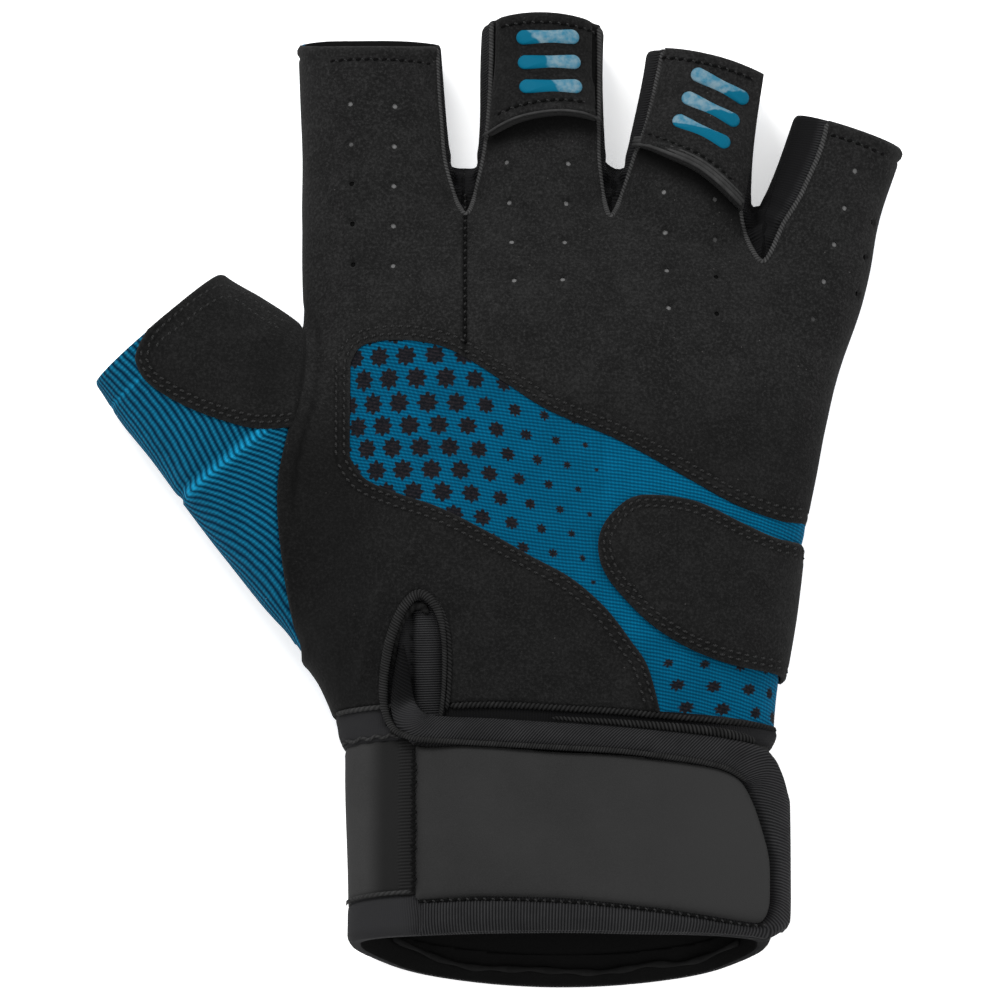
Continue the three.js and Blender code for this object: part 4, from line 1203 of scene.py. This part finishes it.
# Its fade mark is a painted highlight on the gathered crease, and lightens the stitched end.
fabric("thumb_sleeve", thumb_skin, -0.2, THUMB_KNIT, roll=0.3, thickness=0.8,
       replaces=["thumb_knit"], extra=thumb_rise,
       marks={"rib": thumb_rib, "row": lambda p: on_thumb(p)[0],
              "fade": lambda p: gathers(p) + 0.5 * bump(openings(p) - 5.5, 0.35),
              "deep": lambda p: ease(p[:, 0], -51, -48) * ease(p[:, 1], 64, 67)})

thumb_top = cut(raised(thumb_skin, 0.7), lambda p: p[:, 2] - BACK_SEAM + 6 * ease(p[:, 0], -54, -48))
thumb_top = cut(thumb_top, patch_line.depth)


def doubled(line):
    """Two grooves that run inside an outline."""
    def rise(p, edge):
        return -0.15 * twice(line.depth(p), PATCH_ROWS, 0.35)
    return rise


def patch_deep(line, base):
    """How dark a patch is, with painted shade in its stitch lines."""
    def deep(p):
        return base + 0.4 * twice(line.depth(p), PATCH_ROWS, 0.34)

    return deep


def from_point(p, x, y):
    return np.hypot(p[:, 0] - x, p[:, 1] - y)


fabric("thumb_suede", thumb_top, 0.05, SUEDE, roll=0.5, thickness=0.8, replaces=["thumb_patch"],
       extra=doubled(patch_line),
       marks={"deep": lambda p: patch_deep(patch_line, 0.38)(p)
              + 0.28 * bump(from_point(p, -52.5, 61.5), 4.5)})
heel_skin = cut(cut(raised(front, 0.9), lambda p: p[:, 0]), heel_line.depth)
fabric("heel_suede", heel_skin, 0.0, SUEDE, roll=0.5, thickness=1.1, replaces=["heel_patch"],
       extra=lambda p, e: doubled(heel_line)(p, e) - 0.7 * ease(p[:, 0], 43, 46.5),
       marks={"deep": patch_deep(heel_line, 0.3)})

def over_tab(p, hidden=False):
    """1 on the stretches of a seam that a pull tab is sewn into, or with hidden, on those that it covers."""
    out = np.zeros(len(p))
    for name, (edge, _, clear) in TABS.items():
        length, width = FINGERS[name][3:]
        along, across = on_finger(name, p)
        side, reach = np.array(edge).T
        past = along - length + np.interp(across / width, side, reach) * TAB_LENGTH
        on = np.abs(across) < 0.62 * width
        if hidden:
            on = on & (across > 0) & (len(clear) < 2)
        out = np.maximum(out, ease(past, -0.8, 0.8) * on)
    return out


def gusset(key):
    """A finger's side gusset: pleated at its root, raised under a tab, with its ribs showing by the seam."""
    seam = Line(on_hand(FOURCHETTES[key]), closed=False)
    root = seam.p[:, 1].min()

    def rise(p, edge):
        far, along = seam.near(p)
        pleats = 0.5 * np.sin(along * 1.6) * bump(p[:, 1] - root - 6, 5)
        return pleats + 0.7 * over_tab(p) * (1 - ease(far, 0, 1.4)) * ease(p[:, 2], 10, 13)

    # Painted shade at the web between the fingers, over a plain darker tone.
    def deep(p):
        plain = 0.68 * ease(seam.near(p)[0], 0.9, 2.4) if key == "ring_little" else 0.25
        return np.maximum(0.75 * (1 - ease(p[:, 1] - root, 3, 15)), plain)

    fabric(f"finger_gusset_{key}", gusset_skins[key], -0.35, GUSSET, roll=0.3, thickness=0.7,
           replaces=[f"fourchette_{key}"], extra=rise,
           marks={"run": lambda p: seam.near(p)[1], "deep": deep,
                  "fade": lambda p: 0.85 * ease(seam.near(p)[0], 0.9, 2.4)})


for key in gusset_lines:
    gusset(key)

seams = []
for rows in FOURCHETTES.values():
    line = even(on_hand(rows), 0.4)
    p, _ = on_top(line)
    keep = (openings(p) > 0.3) & (p[:, 2] > BACK_SEAM + 1.5) & (over_tab(p, hidden=True) < 0.5)
    for a, b in stretches(keep):
        q = line[a:b]
        seams.append(np.c_[q, 0.05 + 0.85 * over_tab(q), np.full(len(q), 0.47)])
rope("seam_piping", seams, PIPING, pitch=0.6, depth=0.1)

# ---------------------------------------------------------------- pull tabs and their bars


def tab_rise(name):
    length, width = FINGERS[name][3:5]
    _, free = tab_line(name)

    def rise(p):
        along, across = on_finger(name, p)
        share = np.clip((length - along) / TAB_LENGTH, 0, 1.3)
        middle = np.clip(1 - (across / (0.5 * width)) ** 2, 0, 1)
        gap = free.near(p)[0]
        fall = ease((np.abs(across) if len(TABS[name][2]) > 1 else -across) / width, 0.33, 0.46)
        return 2.6 * ease(share, 0.25, 1.0) * middle**0.7 - 1.0 * fall - 0.12 * bump(gap - 2.2, 0.4)
    return rise


def tab_skin(name):
    line, _ = tab_line(name)
    skin = cut(cut(above(raised(whole, TAB_LIFT), 12.5), openings), line.depth)
    for key in TABS[name][2]:
        skin = cut(skin, lambda p, key=key: -gusset_lines[key].depth(p))
    length, width = FINGERS[name][3:5]
    inset = 0.075 if name == "middle" else 0.0

    def side(p):
        along, across = on_finger(name, p)
        return (0.5 - inset * ease(along, length - 13, length - 10)) * width - across
    return cut(skin, side)


BAR_DOME = 0.6
# Where the pale painted reflection on each bar begins, as a share of the bar, and how its border leans
BAR_REFLECTION_EDGES = {
    "middle": ((0.3, 0.08), (0.44, 0.03), (0.6, 0.06)), "ring": ((0.3, 0.12), (0.4, 0.2), (0.66, 0.32)),
}


def bar(name, order):
    """One silicone bar as a domed capsule on its tab."""
    length, width = FINGERS[name][3:5]
    side, reach, shift, turn = TABS[name][1]
    centre_side = side * width - shift * (order - 1)
    centre_along = length - reach * TAB_LENGTH - (order - 1) * BAR_PITCH
    radius = BAR_WIDTH / 2
    straight = BAR_LENGTH / 2 - radius
    rings, around = 7, 36
    turn = math.radians(turn)
    points, rise = [], []
    for ring in range(rings):
        size = math.cos(ring / rings * math.pi / 2) if ring else 1.0
        high = BAR_DOME * math.sin(ring / rings * math.pi / 2) ** 0.6
        for k in range(around):
            a = 2 * math.pi * k / around
            x = math.copysign(straight * (0.15 + 0.85 * size), math.cos(a)) + radius * size * math.cos(a)
            y = radius * size * math.sin(a)
            points.append((x, y))
            rise.append(high)
    points.append((0, 0))
    rise.append(BAR_DOME)
    points = np.array(points)
    x = points[:, 0] * math.cos(turn) - points[:, 1] * math.sin(turn)
    y = points[:, 0] * math.sin(turn) + points[:, 1] * math.cos(turn)
    xy = from_finger(name, centre_along + y, centre_side + x)
    p, n = on_top(xy, lambda q: TAB_LIFT + tab_rise(name)(q))
    v = p + n * (0.02 + np.array(rise))[:, None]
    last = (rings - 1) * around
    faces = tube(0, rings, around)[:-2]
    faces += [(last + k, last + (k + 1) % around, rings * around) for k in range(around)]
    # The mark share places the painted reflection along the bar.
    border, lean_of = BAR_REFLECTION_EDGES[name][order]
    ahead = 1 if name == "middle" else -1
    share = points[:, 0] / BAR_LENGTH * ahead + 0.5 + lean_of * points[:, 1] + 0.5 - border
    make(f"silicone_bar_{name}_{order + 1}", v, faces, SILICONE, [f"grip_bar_{name}_{order + 1}"],
         {"share": share})


def tab_deep(name):
    """How dark a pull tab is: lighter to its free edge, with painted shade in its stitch line."""
    def deep(p):
        gap = tab_line(name)[1].near(p)[0]
        base = 0.42 if name == "middle" else 0.05
        return base * ease(gap, 1.0, 4.0) + 0.4 * bump(gap - 2.3, 0.34)
    return deep


for name in TABS:
    rise = tab_rise(name)
    fabric(f"pull_tab_{name}", tab_skin(name), 0.0, SUEDE, roll=0.5, thickness=1.2,
           replaces=[f"tab_{name}"],
           extra=lambda p, e, rise=rise: rise(p),
           marks={"deep": tab_deep(name)})
    for order in range(3):
        bar(name, order)


def tab_hem(name, offset, radius):
    """A fine cord beside the free edge of a pull tab."""
    edge = tab_line(name)[1].offset(offset)
    edge = edge[np.abs(on_finger(name, edge)[1]) < 0.49 * FINGERS[name][4]]
    lift = TAB_LIFT + tab_rise(name)(np.c_[edge, np.zeros(len(edge))]) - 0.1
    return np.c_[edge, lift, np.full(len(edge), radius)]


rope("tab_hems", [
    tab_hem("middle", 0.25, 0.22), tab_hem("ring", 0.3, 0.36),
    tab_hem("ring", 0.95, 0.42), tab_hem("ring", 1.55, 0.36),
], RIDGE, pitch=0.8, depth=0.0)

# ---------------------------------------------------------------- wrist, cuff and strap

cuff = cut(whole, lambda p: 0.5 - p[:, 1])


def cuff_run(p):
    """Length round the cuff, for ribs that run down it."""
    middle = CUFF_THICKNESS / 2
    angle = np.arctan2((p[:, 2] - middle) / middle, p[:, 0] / (CUFF_WIDTH / 2))
    return angle * CUFF_WIDTH / 2


def between(skin, low, high):
    return cut(cut(skin, lambda p: cuff_depth(p) - low), lambda p: high - cuff_depth(p))


elastic_skin = cut(between(cuff, -9, ELASTIC_LENGTH), lambda p: wrist(p) + 0.4 - p[:, 1])
elastic_skin = cut(elastic_skin, lambda p: np.where(p[:, 2] > 12, 0.5 - slit_line.depth(p), 1.0))
sleeve_skin = between(cuff, ELASTIC_LENGTH - 0.4, CUFF_LENGTH)
sleeve_skin = cut(sleeve_skin, lambda p: hem_top(p) + 0.5 - cuff_depth(p))
hem_skin = cut(between(cuff, 20, CUFF_LENGTH), lambda p: cuff_depth(p) - hem_top(p))


def thumb_side(p):
    """1 on the smooth start of the hem at the thumb's side."""
    return ease(-p[:, 0], 24, 29)


def root_shade(p):
    """Painted shade: darker towards the strap's root, where the strap shades the cuff, and a little darker
    towards the cuff's thumb side.
    """
    return np.maximum(ease(p[:, 0], -35.6, -31.6) * ease(p[:, 2], 8, 12), 0.45 * ease(-p[:, 0], 36.5, 41))


def root_strip(p):
    """1 on the ribbed strip where the strap is sewn down."""
    return ease(1.5 - np.abs(p[:, 0] + 27.9), 0, 0.5) * ease(p[:, 2], 12, 16)


def shade_under_cord(p):
    """Painted shade where the elastic lies in the gap above the strap."""
    return 0.85 * ease(p[:, 0], -23, -20.5) * (1 - ease(p[:, 0], 21, 31)) * ease(p[:, 2], 14, 20)


fabric("wrist_band", elastic_skin, 0.1, ELASTIC, roll=0.6, wide=1.2, thickness=1.2,
       replaces=["wrist_elastic"],
       marks={"run": cuff_run, "deep": shade_under_cord, "fade": lambda p: 0.8 * ease(-p[:, 0], 22, 27)})
fabric("cuff_wrap", sleeve_skin, 0.0, NEOPRENE, roll=0.6, wide=1.4, thickness=2.0,
       replaces=["cuff_sleeve"],
       extra=lambda p, e: 0.35 * root_strip(p),
       marks={"shade": root_shade, "strip": root_strip, "run": lambda p: p[:, 1]})
fabric("cuff_edge", hem_skin, 0.1, BINDING, roll=0.9, wide=1.6, thickness=2.4,
       replaces=["cuff_hem"],
       marks={"run": cuff_run, "fade": thumb_side})

strap_skin = cut(above(raised(whole, STRAP_LIFT), 12), lambda p: 12 - p[:, 1])
panel_skin = cut(strap_skin, lambda p: panel_line.depth(p) + 0.5)
edge_skin = cut(cut(strap_skin, binding_line.depth), lambda p: -panel_line.depth(p))
edge_skin = cut(edge_skin, lambda p: CUFF_LENGTH + 0.2 - cuff_depth(p))


def panel_rise(p, edge):
    return -0.5 * bump(edge, 1.1) - 1.1 * (1 - ease(p[:, 0], -26.4, -17))


def edge_run(p):
    """Length along the binding, sheared where its ribs lean."""
    side, along = binding_middle.beside(p)
    return along - side * np.interp(along, [0, 10, 74, 92, 120], [0.3, 0.8, 0.8, 0.1, 0.0])


def edge_deep(p):
    """Painted shade where the binding's end turns into the slit and in the groove beside the panel, and a
    painted highlight where it bends.
    """
    bend = bump(from_point(p, -26.6, -1.6), 1.5)
    groove = 0.85 * bump(panel_line.near(p)[0] - 0.2, 0.5)
    return np.clip(0.85 * ease(p[:, 1], -2.5, 1.5) + groove - 1.5 * bend, 0, 1)


def edge_rise(p, edge):
    """The binding sinks to the hem where the strap starts, and folds over in the slit."""
    start = (1 - ease(p[:, 0], -26.4, -14)) * ease(-p[:, 1], 30, 34)
    curl = ease(p[:, 1], -2.0, 8.0)
    return -2.0 * start - 1.5 * curl + 0.5 * bump(from_point(p, -26.6, -1.6), 1.4)


# The strap's cloth turns lighter towards its right side: painted light.
fabric("strap_face", panel_skin, -0.3, STRAP, roll=0.4, wide=1.0, thickness=2.0,
       replaces=["strap_panel"],
       extra=panel_rise, marks={"shade": lambda p: ease(p[:, 0], 5, 36)})
fabric("strap_edge", edge_skin, 0.4, BINDING, roll=1.3, wide=2.2, thickness=2.6,
       replaces=["strap_binding"], extra=edge_rise,
       marks={"run": edge_run, "deep": edge_deep,
              "fade": lambda p: 0.8 * bump(from_point(p, -27.2, -2.2), 2.6)})

# ---------------------------------------------------------------- the slit at the wrist

slit_base = cut(above(whole, 12), lambda p: 9 - np.abs(p[:, 0] + 26))
floor_skin = cut(cut(slit_base, lambda p: slit_line.depth(p) + 1.5), lambda p: p[:, 1] + 3.4)
# Darker on the thumb's side, with painted shade in its groove and beside the slit's cord.
fabric("slit_stretch_gusset", floor_skin, -0.9, SLIT_KNIT, roll=0.0, thickness=0.9,
       replaces=["slit_gusset"],
       extra=lambda p, e: -0.8 * bump(p[:, 0] + 27.1, 0.5) + 0.5 * bump(p[:, 0] + 24.3, 1.6)
       - 0.6 * bump(p[:, 0] + 30.6, 0.6) + 0.6 * (1 - ease(slit_line.depth(p), -0.5, 0.6)),
       marks={"run": lambda p: p[:, 1], "fade": lambda p: 0.6 * ease(-p[:, 0], 26.8, 27.4),
              "deep": lambda p: np.clip(0.45 * ease(-p[:, 0], 26.6, 27.2) + 0.7 * bump(p[:, 0] + 27.1, 0.4)
                                        + 0.7 * bump(p[:, 0] + 21.9, 0.45), 0, 1)})

# Cords along rows of x, y, lift and radius: the slit's bound edge, which runs on below the strap's binding
SLIT_CORD = [
    (-21.9, -3.0, 0.6, 0.36), (-21.4, 1.0, 0.8, 0.38), (-21.1, 6.0, 0.8, 0.4), (-21.2, 11.1, 0.85, 0.45),
    (-21.9, 15.3, 0.85, 0.62), (-23.5, 18.2, 0.85, 0.8), (-25.8, 19.4, 0.85, 0.86), (-28.5, 17.0, 0.85, 0.86),
    (-30.7, 11.9, 0.85, 0.86), (-31.8, 6.5, 0.9, 0.85), (-32.0, 1.9, 1.2, 0.8), (-31.5, -1.6, 1.6, 0.7),
    (-30.1, -4.4, 2.1, 0.6), (-27.4, -6.1, 2.6, 0.52), (-23.8, -6.9, 2.85, 0.5), (-16.6, -7.6, 2.9, 0.48),
    (-7.9, -8.2, 2.9, 0.48), (1.4, -8.8, 2.9, 0.48), (9.0, -9.2, 2.9, 0.48), (17.4, -10.0, 2.9, 0.48),
    (25.9, -11.0, 2.85, 0.48), (30.0, -12.0, 2.75, 0.46), (33.0, -13.8, 2.5, 0.42),
]
SLIT_INNER_CORD = [
    (-20.7, -1.0, 0.5, 0.36), (-20.3, 3.0, 0.55, 0.4), (-20.2, 8.0, 0.55, 0.4), (-20.4, 12.0, 0.6, 0.4),
    (-21.2, 15.6, 0.5, 0.36), (-22.7, 18.4, 0.4, 0.3),
]
SLIT_FOLD = [
    (-30.3, 7.0, -0.6, 0.5), (-29.9, 11.5, -0.3, 0.6), (-28.6, 15.2, -0.1, 0.7), (-26.7, 17.3, 0.0, 0.75),
    (-25.0, 17.2, 0.0, 0.75), (-24.0, 15.9, -0.1, 0.6),
]
WRIST_CORD = [
    (-20.2, -0.3, 0.3, 0.5), (-14.8, -0.25, 0.35, 0.55), (-7.9, -0.4, 0.35, 0.55), (0.5, -0.9, 0.35, 0.55),
    (9.0, -1.4, 0.35, 0.55), (15.8, -1.95, 0.35, 0.55), (21.6, -2.35, 0.35, 0.52), (28.4, -2.7, 0.35, 0.5),
    (34.4, -2.75, 0.35, 0.48), (38.3, -2.7, 0.3, 0.42),
]
STRAP_LIP = [
    (-2.0, -2.9, 1.6, 0.35), (9.0, -3.7, 1.8, 0.55), (17.6, -4.3, 2.0, 0.7), (25.9, -4.9, 2.1, 0.8),
    (31.1, -5.5, 2.1, 0.78), (34.4, -6.0, 1.9, 0.6),
]
rope("slit_edge", [spline(SLIT_CORD)], BOUND_EDGE, pitch=0.5, depth=0.09,
     replaces=["slit_binding"])
rope("slit_cords", [spline(SLIT_INNER_CORD)], CORD, pitch=0.7)
rope("slit_fold", [spline(SLIT_FOLD)], FOLD, pitch=1.4, depth=0.05)
rope("wrist_cord", [spline(WRIST_CORD)], CORD, pitch=0.8, depth=0.22)
rope("strap_lip", [spline(STRAP_LIP)], CORD, pitch=0.72, depth=0.16, lobes=-2)

wave = np.linspace(-40.5, -29.2, 90)
rope("wrist_welts", [
    np.c_[wave, -5.2 + 0.25 * np.sin(wave * 2.4), np.full(90, 0.25), np.full(90, 0.3)],
    np.c_[wave, np.full(90, 0.15), np.full(90, 0.3), np.full(90, 0.42)],
    spline([(-39.3, -33.9, 0.3, 0.34), (-33.0, -33.85, 0.3, 0.36), (-27.0, -33.8, 0.35, 0.34)]),
], RIDGE, pitch=1.1, depth=0.1, low=9.0)

# The zigzag that holds the panel at its root
down = np.arange(-8.2, -34.2, -0.55)
turns = np.where(np.arange(len(down)) % 2, 1, -1) * rng.uniform(0.2, 0.5, len(down))
zigzag = np.c_[-26.6 + turns, down, np.full(len(down), 1.5), np.full(len(down), 0.25)]
rope("root_zigzag", [zigzag], THREAD_DARK, pitch=0.5, depth=0.0)


def mouth_fold():
    """The folded edge inside the mouth, along the back of the cuff."""
    path = even(spline([
        (-30.4, -38.7), (-23.8, -41.5), (-16.6, -43.6), (-4.9, -44.1), (6.8, -44.6), (15.8, -43.2),
        (23.0, -42.8), (31.7, -39.5),
    ]), 0.4)
    path = np.c_[path, 3.0 + 0.25 * np.sin(path[:, 0] * 0.9) + 2.2 * ease(np.abs(path[:, 0]), 22, 33)]
    sides, v = 10, []
    turns = np.linspace(0, 2 * math.pi, sides, False)
    for i, q in enumerate(path):
        size = 0.55 + 0.15 * math.sin(i * 0.37)
        v += [q + size * np.array([0, math.cos(a), 0.8 * math.sin(a)]) for a in turns]
    marks = {"twist": np.full(len(v), 0.7)}
    return make("mouth_fold", np.array(v), tube(0, len(path), sides), FOLD, marks=marks)


mouth_fold()

# ---------------------------------------------------------------- stitches

# A stitch's rings: place along it, size, and height in its radius
STITCH_BANDS = [(-1.0, 0.3, -0.9), (-0.75, 0.85, 0.05), (0.0, 1.0, 0.5), (0.75, 0.85, 0.05), (1.0, 0.3, -0.9)]


def stitches(name, rows, material, radius=0.2, pitch=2.1, length=1.45, lean=0.0, start=0.5):
    """Rows of short bowed threads. Each row is a line and a function that gives the cloth's lift under it."""
    sides = 6
    all_v, all_f, run = [], [], []
    for points, lift in rows:
        line = Line(points, closed=False)
        count = int(line.start[-1] / pitch)
        if count < 1:
            continue
        at = (np.arange(count) + start) * line.start[-1] / count
        a, _ = on_top(line.at(at - length / 2), lift)
        b, _ = on_top(line.at(at + length / 2), lift)
        p, n = on_top(line.at(at), lift)
        good = (p[:, 2] > BACK_SEAM) & (n[:, 2] > 0.05) & (openings(p) > 0.4)
        p, n, t = p[good], n[good], unit((b - a)[good])
        side = unit(np.cross(n, t))
        angle = np.radians(lean + rng.normal(0, 4, len(p)))[:, None]
        t, side = t * np.cos(angle) + side * np.sin(angle), side * np.cos(angle) - t * np.sin(angle)
        for i in range(len(p)):
            first = len(all_v)
            for s, r, up in STITCH_BANDS:
                for k in range(sides):
                    turn = 2 * math.pi * k / sides
                    q = p[i] + t[i] * s * length / 2 + n[i] * radius * (up + r * math.sin(turn))
                    all_v.append(q + side[i] * radius * r * math.cos(turn))
                    run.append(s * length / 2 + 0.4 * turn / math.pi)
            all_f += tube(first, len(STITCH_BANDS), sides)
    return make(name, np.array(all_v), all_f, material, marks={"run": run})


top_open, bottom_open = Line(on_hand(INSERT_TOP), closed=False), Line(on_hand(INSERT_BOTTOM), closed=False)
rows = [(line.offset(by), 0.2) for line in (top_open, bottom_open) for by in INSERT_ROWS]


def inside_of(line, by, keep):
    """The kept part of a closed outline moved inwards."""
    moved = line.offset(by)
    if len(moved) and line.depth(moved).mean() < 0:
        moved = line.offset(-by)
    return moved[keep(moved)]


def below_top(q):
    """The sides of the thumb patch, without its top and its root."""
    return (q[:, 0] < -48) & (q[:, 1] < np.where(q[:, 0] > -60, 55.5, 66.0))


for by in PATCH_ROWS:
    rows.append((inside_of(heel_line, by, lambda q: q[:, 0] < 47), 0.8))
    rows.append((inside_of(patch_line, by, below_top), 0.65))
rows.append((spline([
    (-74.6, 66.0), (-73.3, 68.6), (-70.6, 71.3), (-67.7, 73.9), (-63.7, 77.2), (-60.9, 78.6), (-58.6, 77.9),
    (-56.5, 76.6), (-52.9, 73.6), (-49.8, 71.6),
]), 0.65))
rows.append((spline([
    (-73.3, 66.0), (-71.6, 68.0), (-69.1, 69.8), (-66.2, 72.4), (-63.7, 74.4), (-61.2, 76.0), (-59.4, 76.0),
    (-57.3, 74.6), (-54.4, 72.3), (-50.8, 70.0),
]), 0.65))


def finger_hem(name, reach, low, high):
    length, width = FINGERS[name][3:5]
    _, lean, bow = OPENINGS[name]
    side = np.linspace(low, high, 30) * width
    return from_finger(name, length - reach - lean * side + bow * width * (1 - (2 * side / width) ** 2), side)


rows = [(line[line[:, 1] > wrist(np.c_[line, np.full(len(line), 20.0)]) + 0.9], lift) for line, lift in rows]
stitches("stitching", rows, THREAD, radius=0.23, pitch=1.45, length=1.0, lean=16.0)
rows = [(finger_hem("index", 2.5, -0.3, 0.42), 0.1), (finger_hem("little", 2.5, -0.12, 0.4), 0.1)]
for name in TABS:
    on_tab = lambda p, rise=tab_rise(name): TAB_LIFT + 0.08 + rise(p)
    rows.append((finger_hem(name, 2.0, -0.36, 0.4), on_tab))
    edge = tab_line(name)[1].offset(2.3)
    inner = np.abs(on_finger(name, edge)[1]) < 0.38 * FINGERS[name][4]
    rows.append((edge[inner], on_tab))
groove = [(-26.0, -35.8), (-7.2, -36.3), (10.1, -37.4), (23.0, -38.8), (32.0, -39.8), (36.0, -39.5)]
rows.append((spline(groove), lambda p: 2.95 - 2.0 * (1 - ease(p[:, 0], -26.4, -14))))
rows.append((even(on_hand(INDEX_SEAM[:3])[::-1], 0.5), 0.1))
stitches("dark_stitching", rows, THREAD_DARK, radius=0.26, pitch=1.5, length=1.1, lean=18.0)
stitches("light_stitching", rows, THREAD, radius=0.18, pitch=1.5, length=0.75, lean=-25.0,
         start=0.97)

# ---------------------------------------------------------------- air holes' floors

FLOOR_DEPTH, FLOOR_RADIUS, FLOOR_SIDES = 0.45, 0.9, 12
# How dark each hole looks, column by column as in the table of perforations
DARKNESS = [
    0, 0.4, 1, 1, 1, 0, 0, 0, 0, 0, 0.3, 0.2, 0, 0, 0, 0, 0,
    0, 0, 0, 0, 0, 0.6, 0.6, 1, 1, 0, 0, 0, 0, 0.6, 0.8, 1, 1,
]
keep = HOLES[:, 2] > BACK_SEAM + 0.5
v, f = [], []
for p, n in zip(HOLES[keep], HOLE_NORMALS[keep]):
    side = unit(np.cross(n, [0, 1, 0]))
    up = np.cross(side, n)
    first = len(v)
    for k in range(FLOOR_SIDES):
        turn = 2 * math.pi * k / FLOOR_SIDES
        v.append(p - n * FLOOR_DEPTH + FLOOR_RADIUS * (side * math.cos(turn) + up * math.sin(turn)))
    f.append(tuple(range(first, first + FLOOR_SIDES)))
shade = np.repeat(np.array(DARKNESS)[keep], FLOOR_SIDES)
make("hole_linings", np.array(v), f, HOLE, marks={"shade": shade})

# ---------------------------------------------------------------- floor, light and camera

floor_look = Look("floor", Roughness=0.9, Specular_IOR_Level=0.0)
floor_look.set("base color", (0.93, 0.93, 0.93, 1))
floor_look.set("emission color", (1, 1, 1, 1))
floor_look.set("emission strength", 0.45)
bpy.ops.mesh.primitive_plane_add(size=6, location=(0, 0, -0.0002))
floor = bpy.context.object
floor.name = "floor"
floor.data.materials.append(floor_look.material)

world = bpy.data.worlds.new("studio")
bpy.context.scene.world = world
world.use_nodes = True
world.node_tree.nodes["Background"].inputs[0].default_value = (1, 1, 1, 1)
world.node_tree.nodes["Background"].inputs[1].default_value = 1.0


def lamp(name, place, size, power, target=(0, 0, 0.01)):
    light = bpy.data.lights.new(name, "AREA")
    light.shape = "RECTANGLE"
    light.size, light.size_y = size
    light.energy = power
    item = bpy.data.objects.new(name, light)
    item.location = place
    item.rotation_euler = (Vector(place) - Vector(target)).to_track_quat("Z", "Y").to_euler()
    bpy.context.scene.collection.objects.link(item)


lamp("key", (-0.3, 0.6, 0.7), (0.4, 0.4), 6.5)
lamp("fill", (0.7, -0.3, 0.7), (0.7, 0.7), 3.0)

elevation, distance = math.radians(78), 2.5
aim = Vector((-0.00007, -0.00216, 0.015))
camera = bpy.data.objects.new("camera", bpy.data.cameras.new("camera"))
camera.data.lens, camera.data.sensor_width = 500, 36
camera.data.clip_start, camera.data.clip_end = 0.1, 20
back_of = Vector((0, -math.cos(elevation), math.sin(elevation)))
camera.location = aim + back_of * distance
camera.rotation_euler = back_of.to_track_quat("Z", "Y").to_euler()
bpy.context.scene.collection.objects.link(camera)
bpy.context.scene.camera = camera
bpy.context.scene.view_settings.view_transform = "Standard"
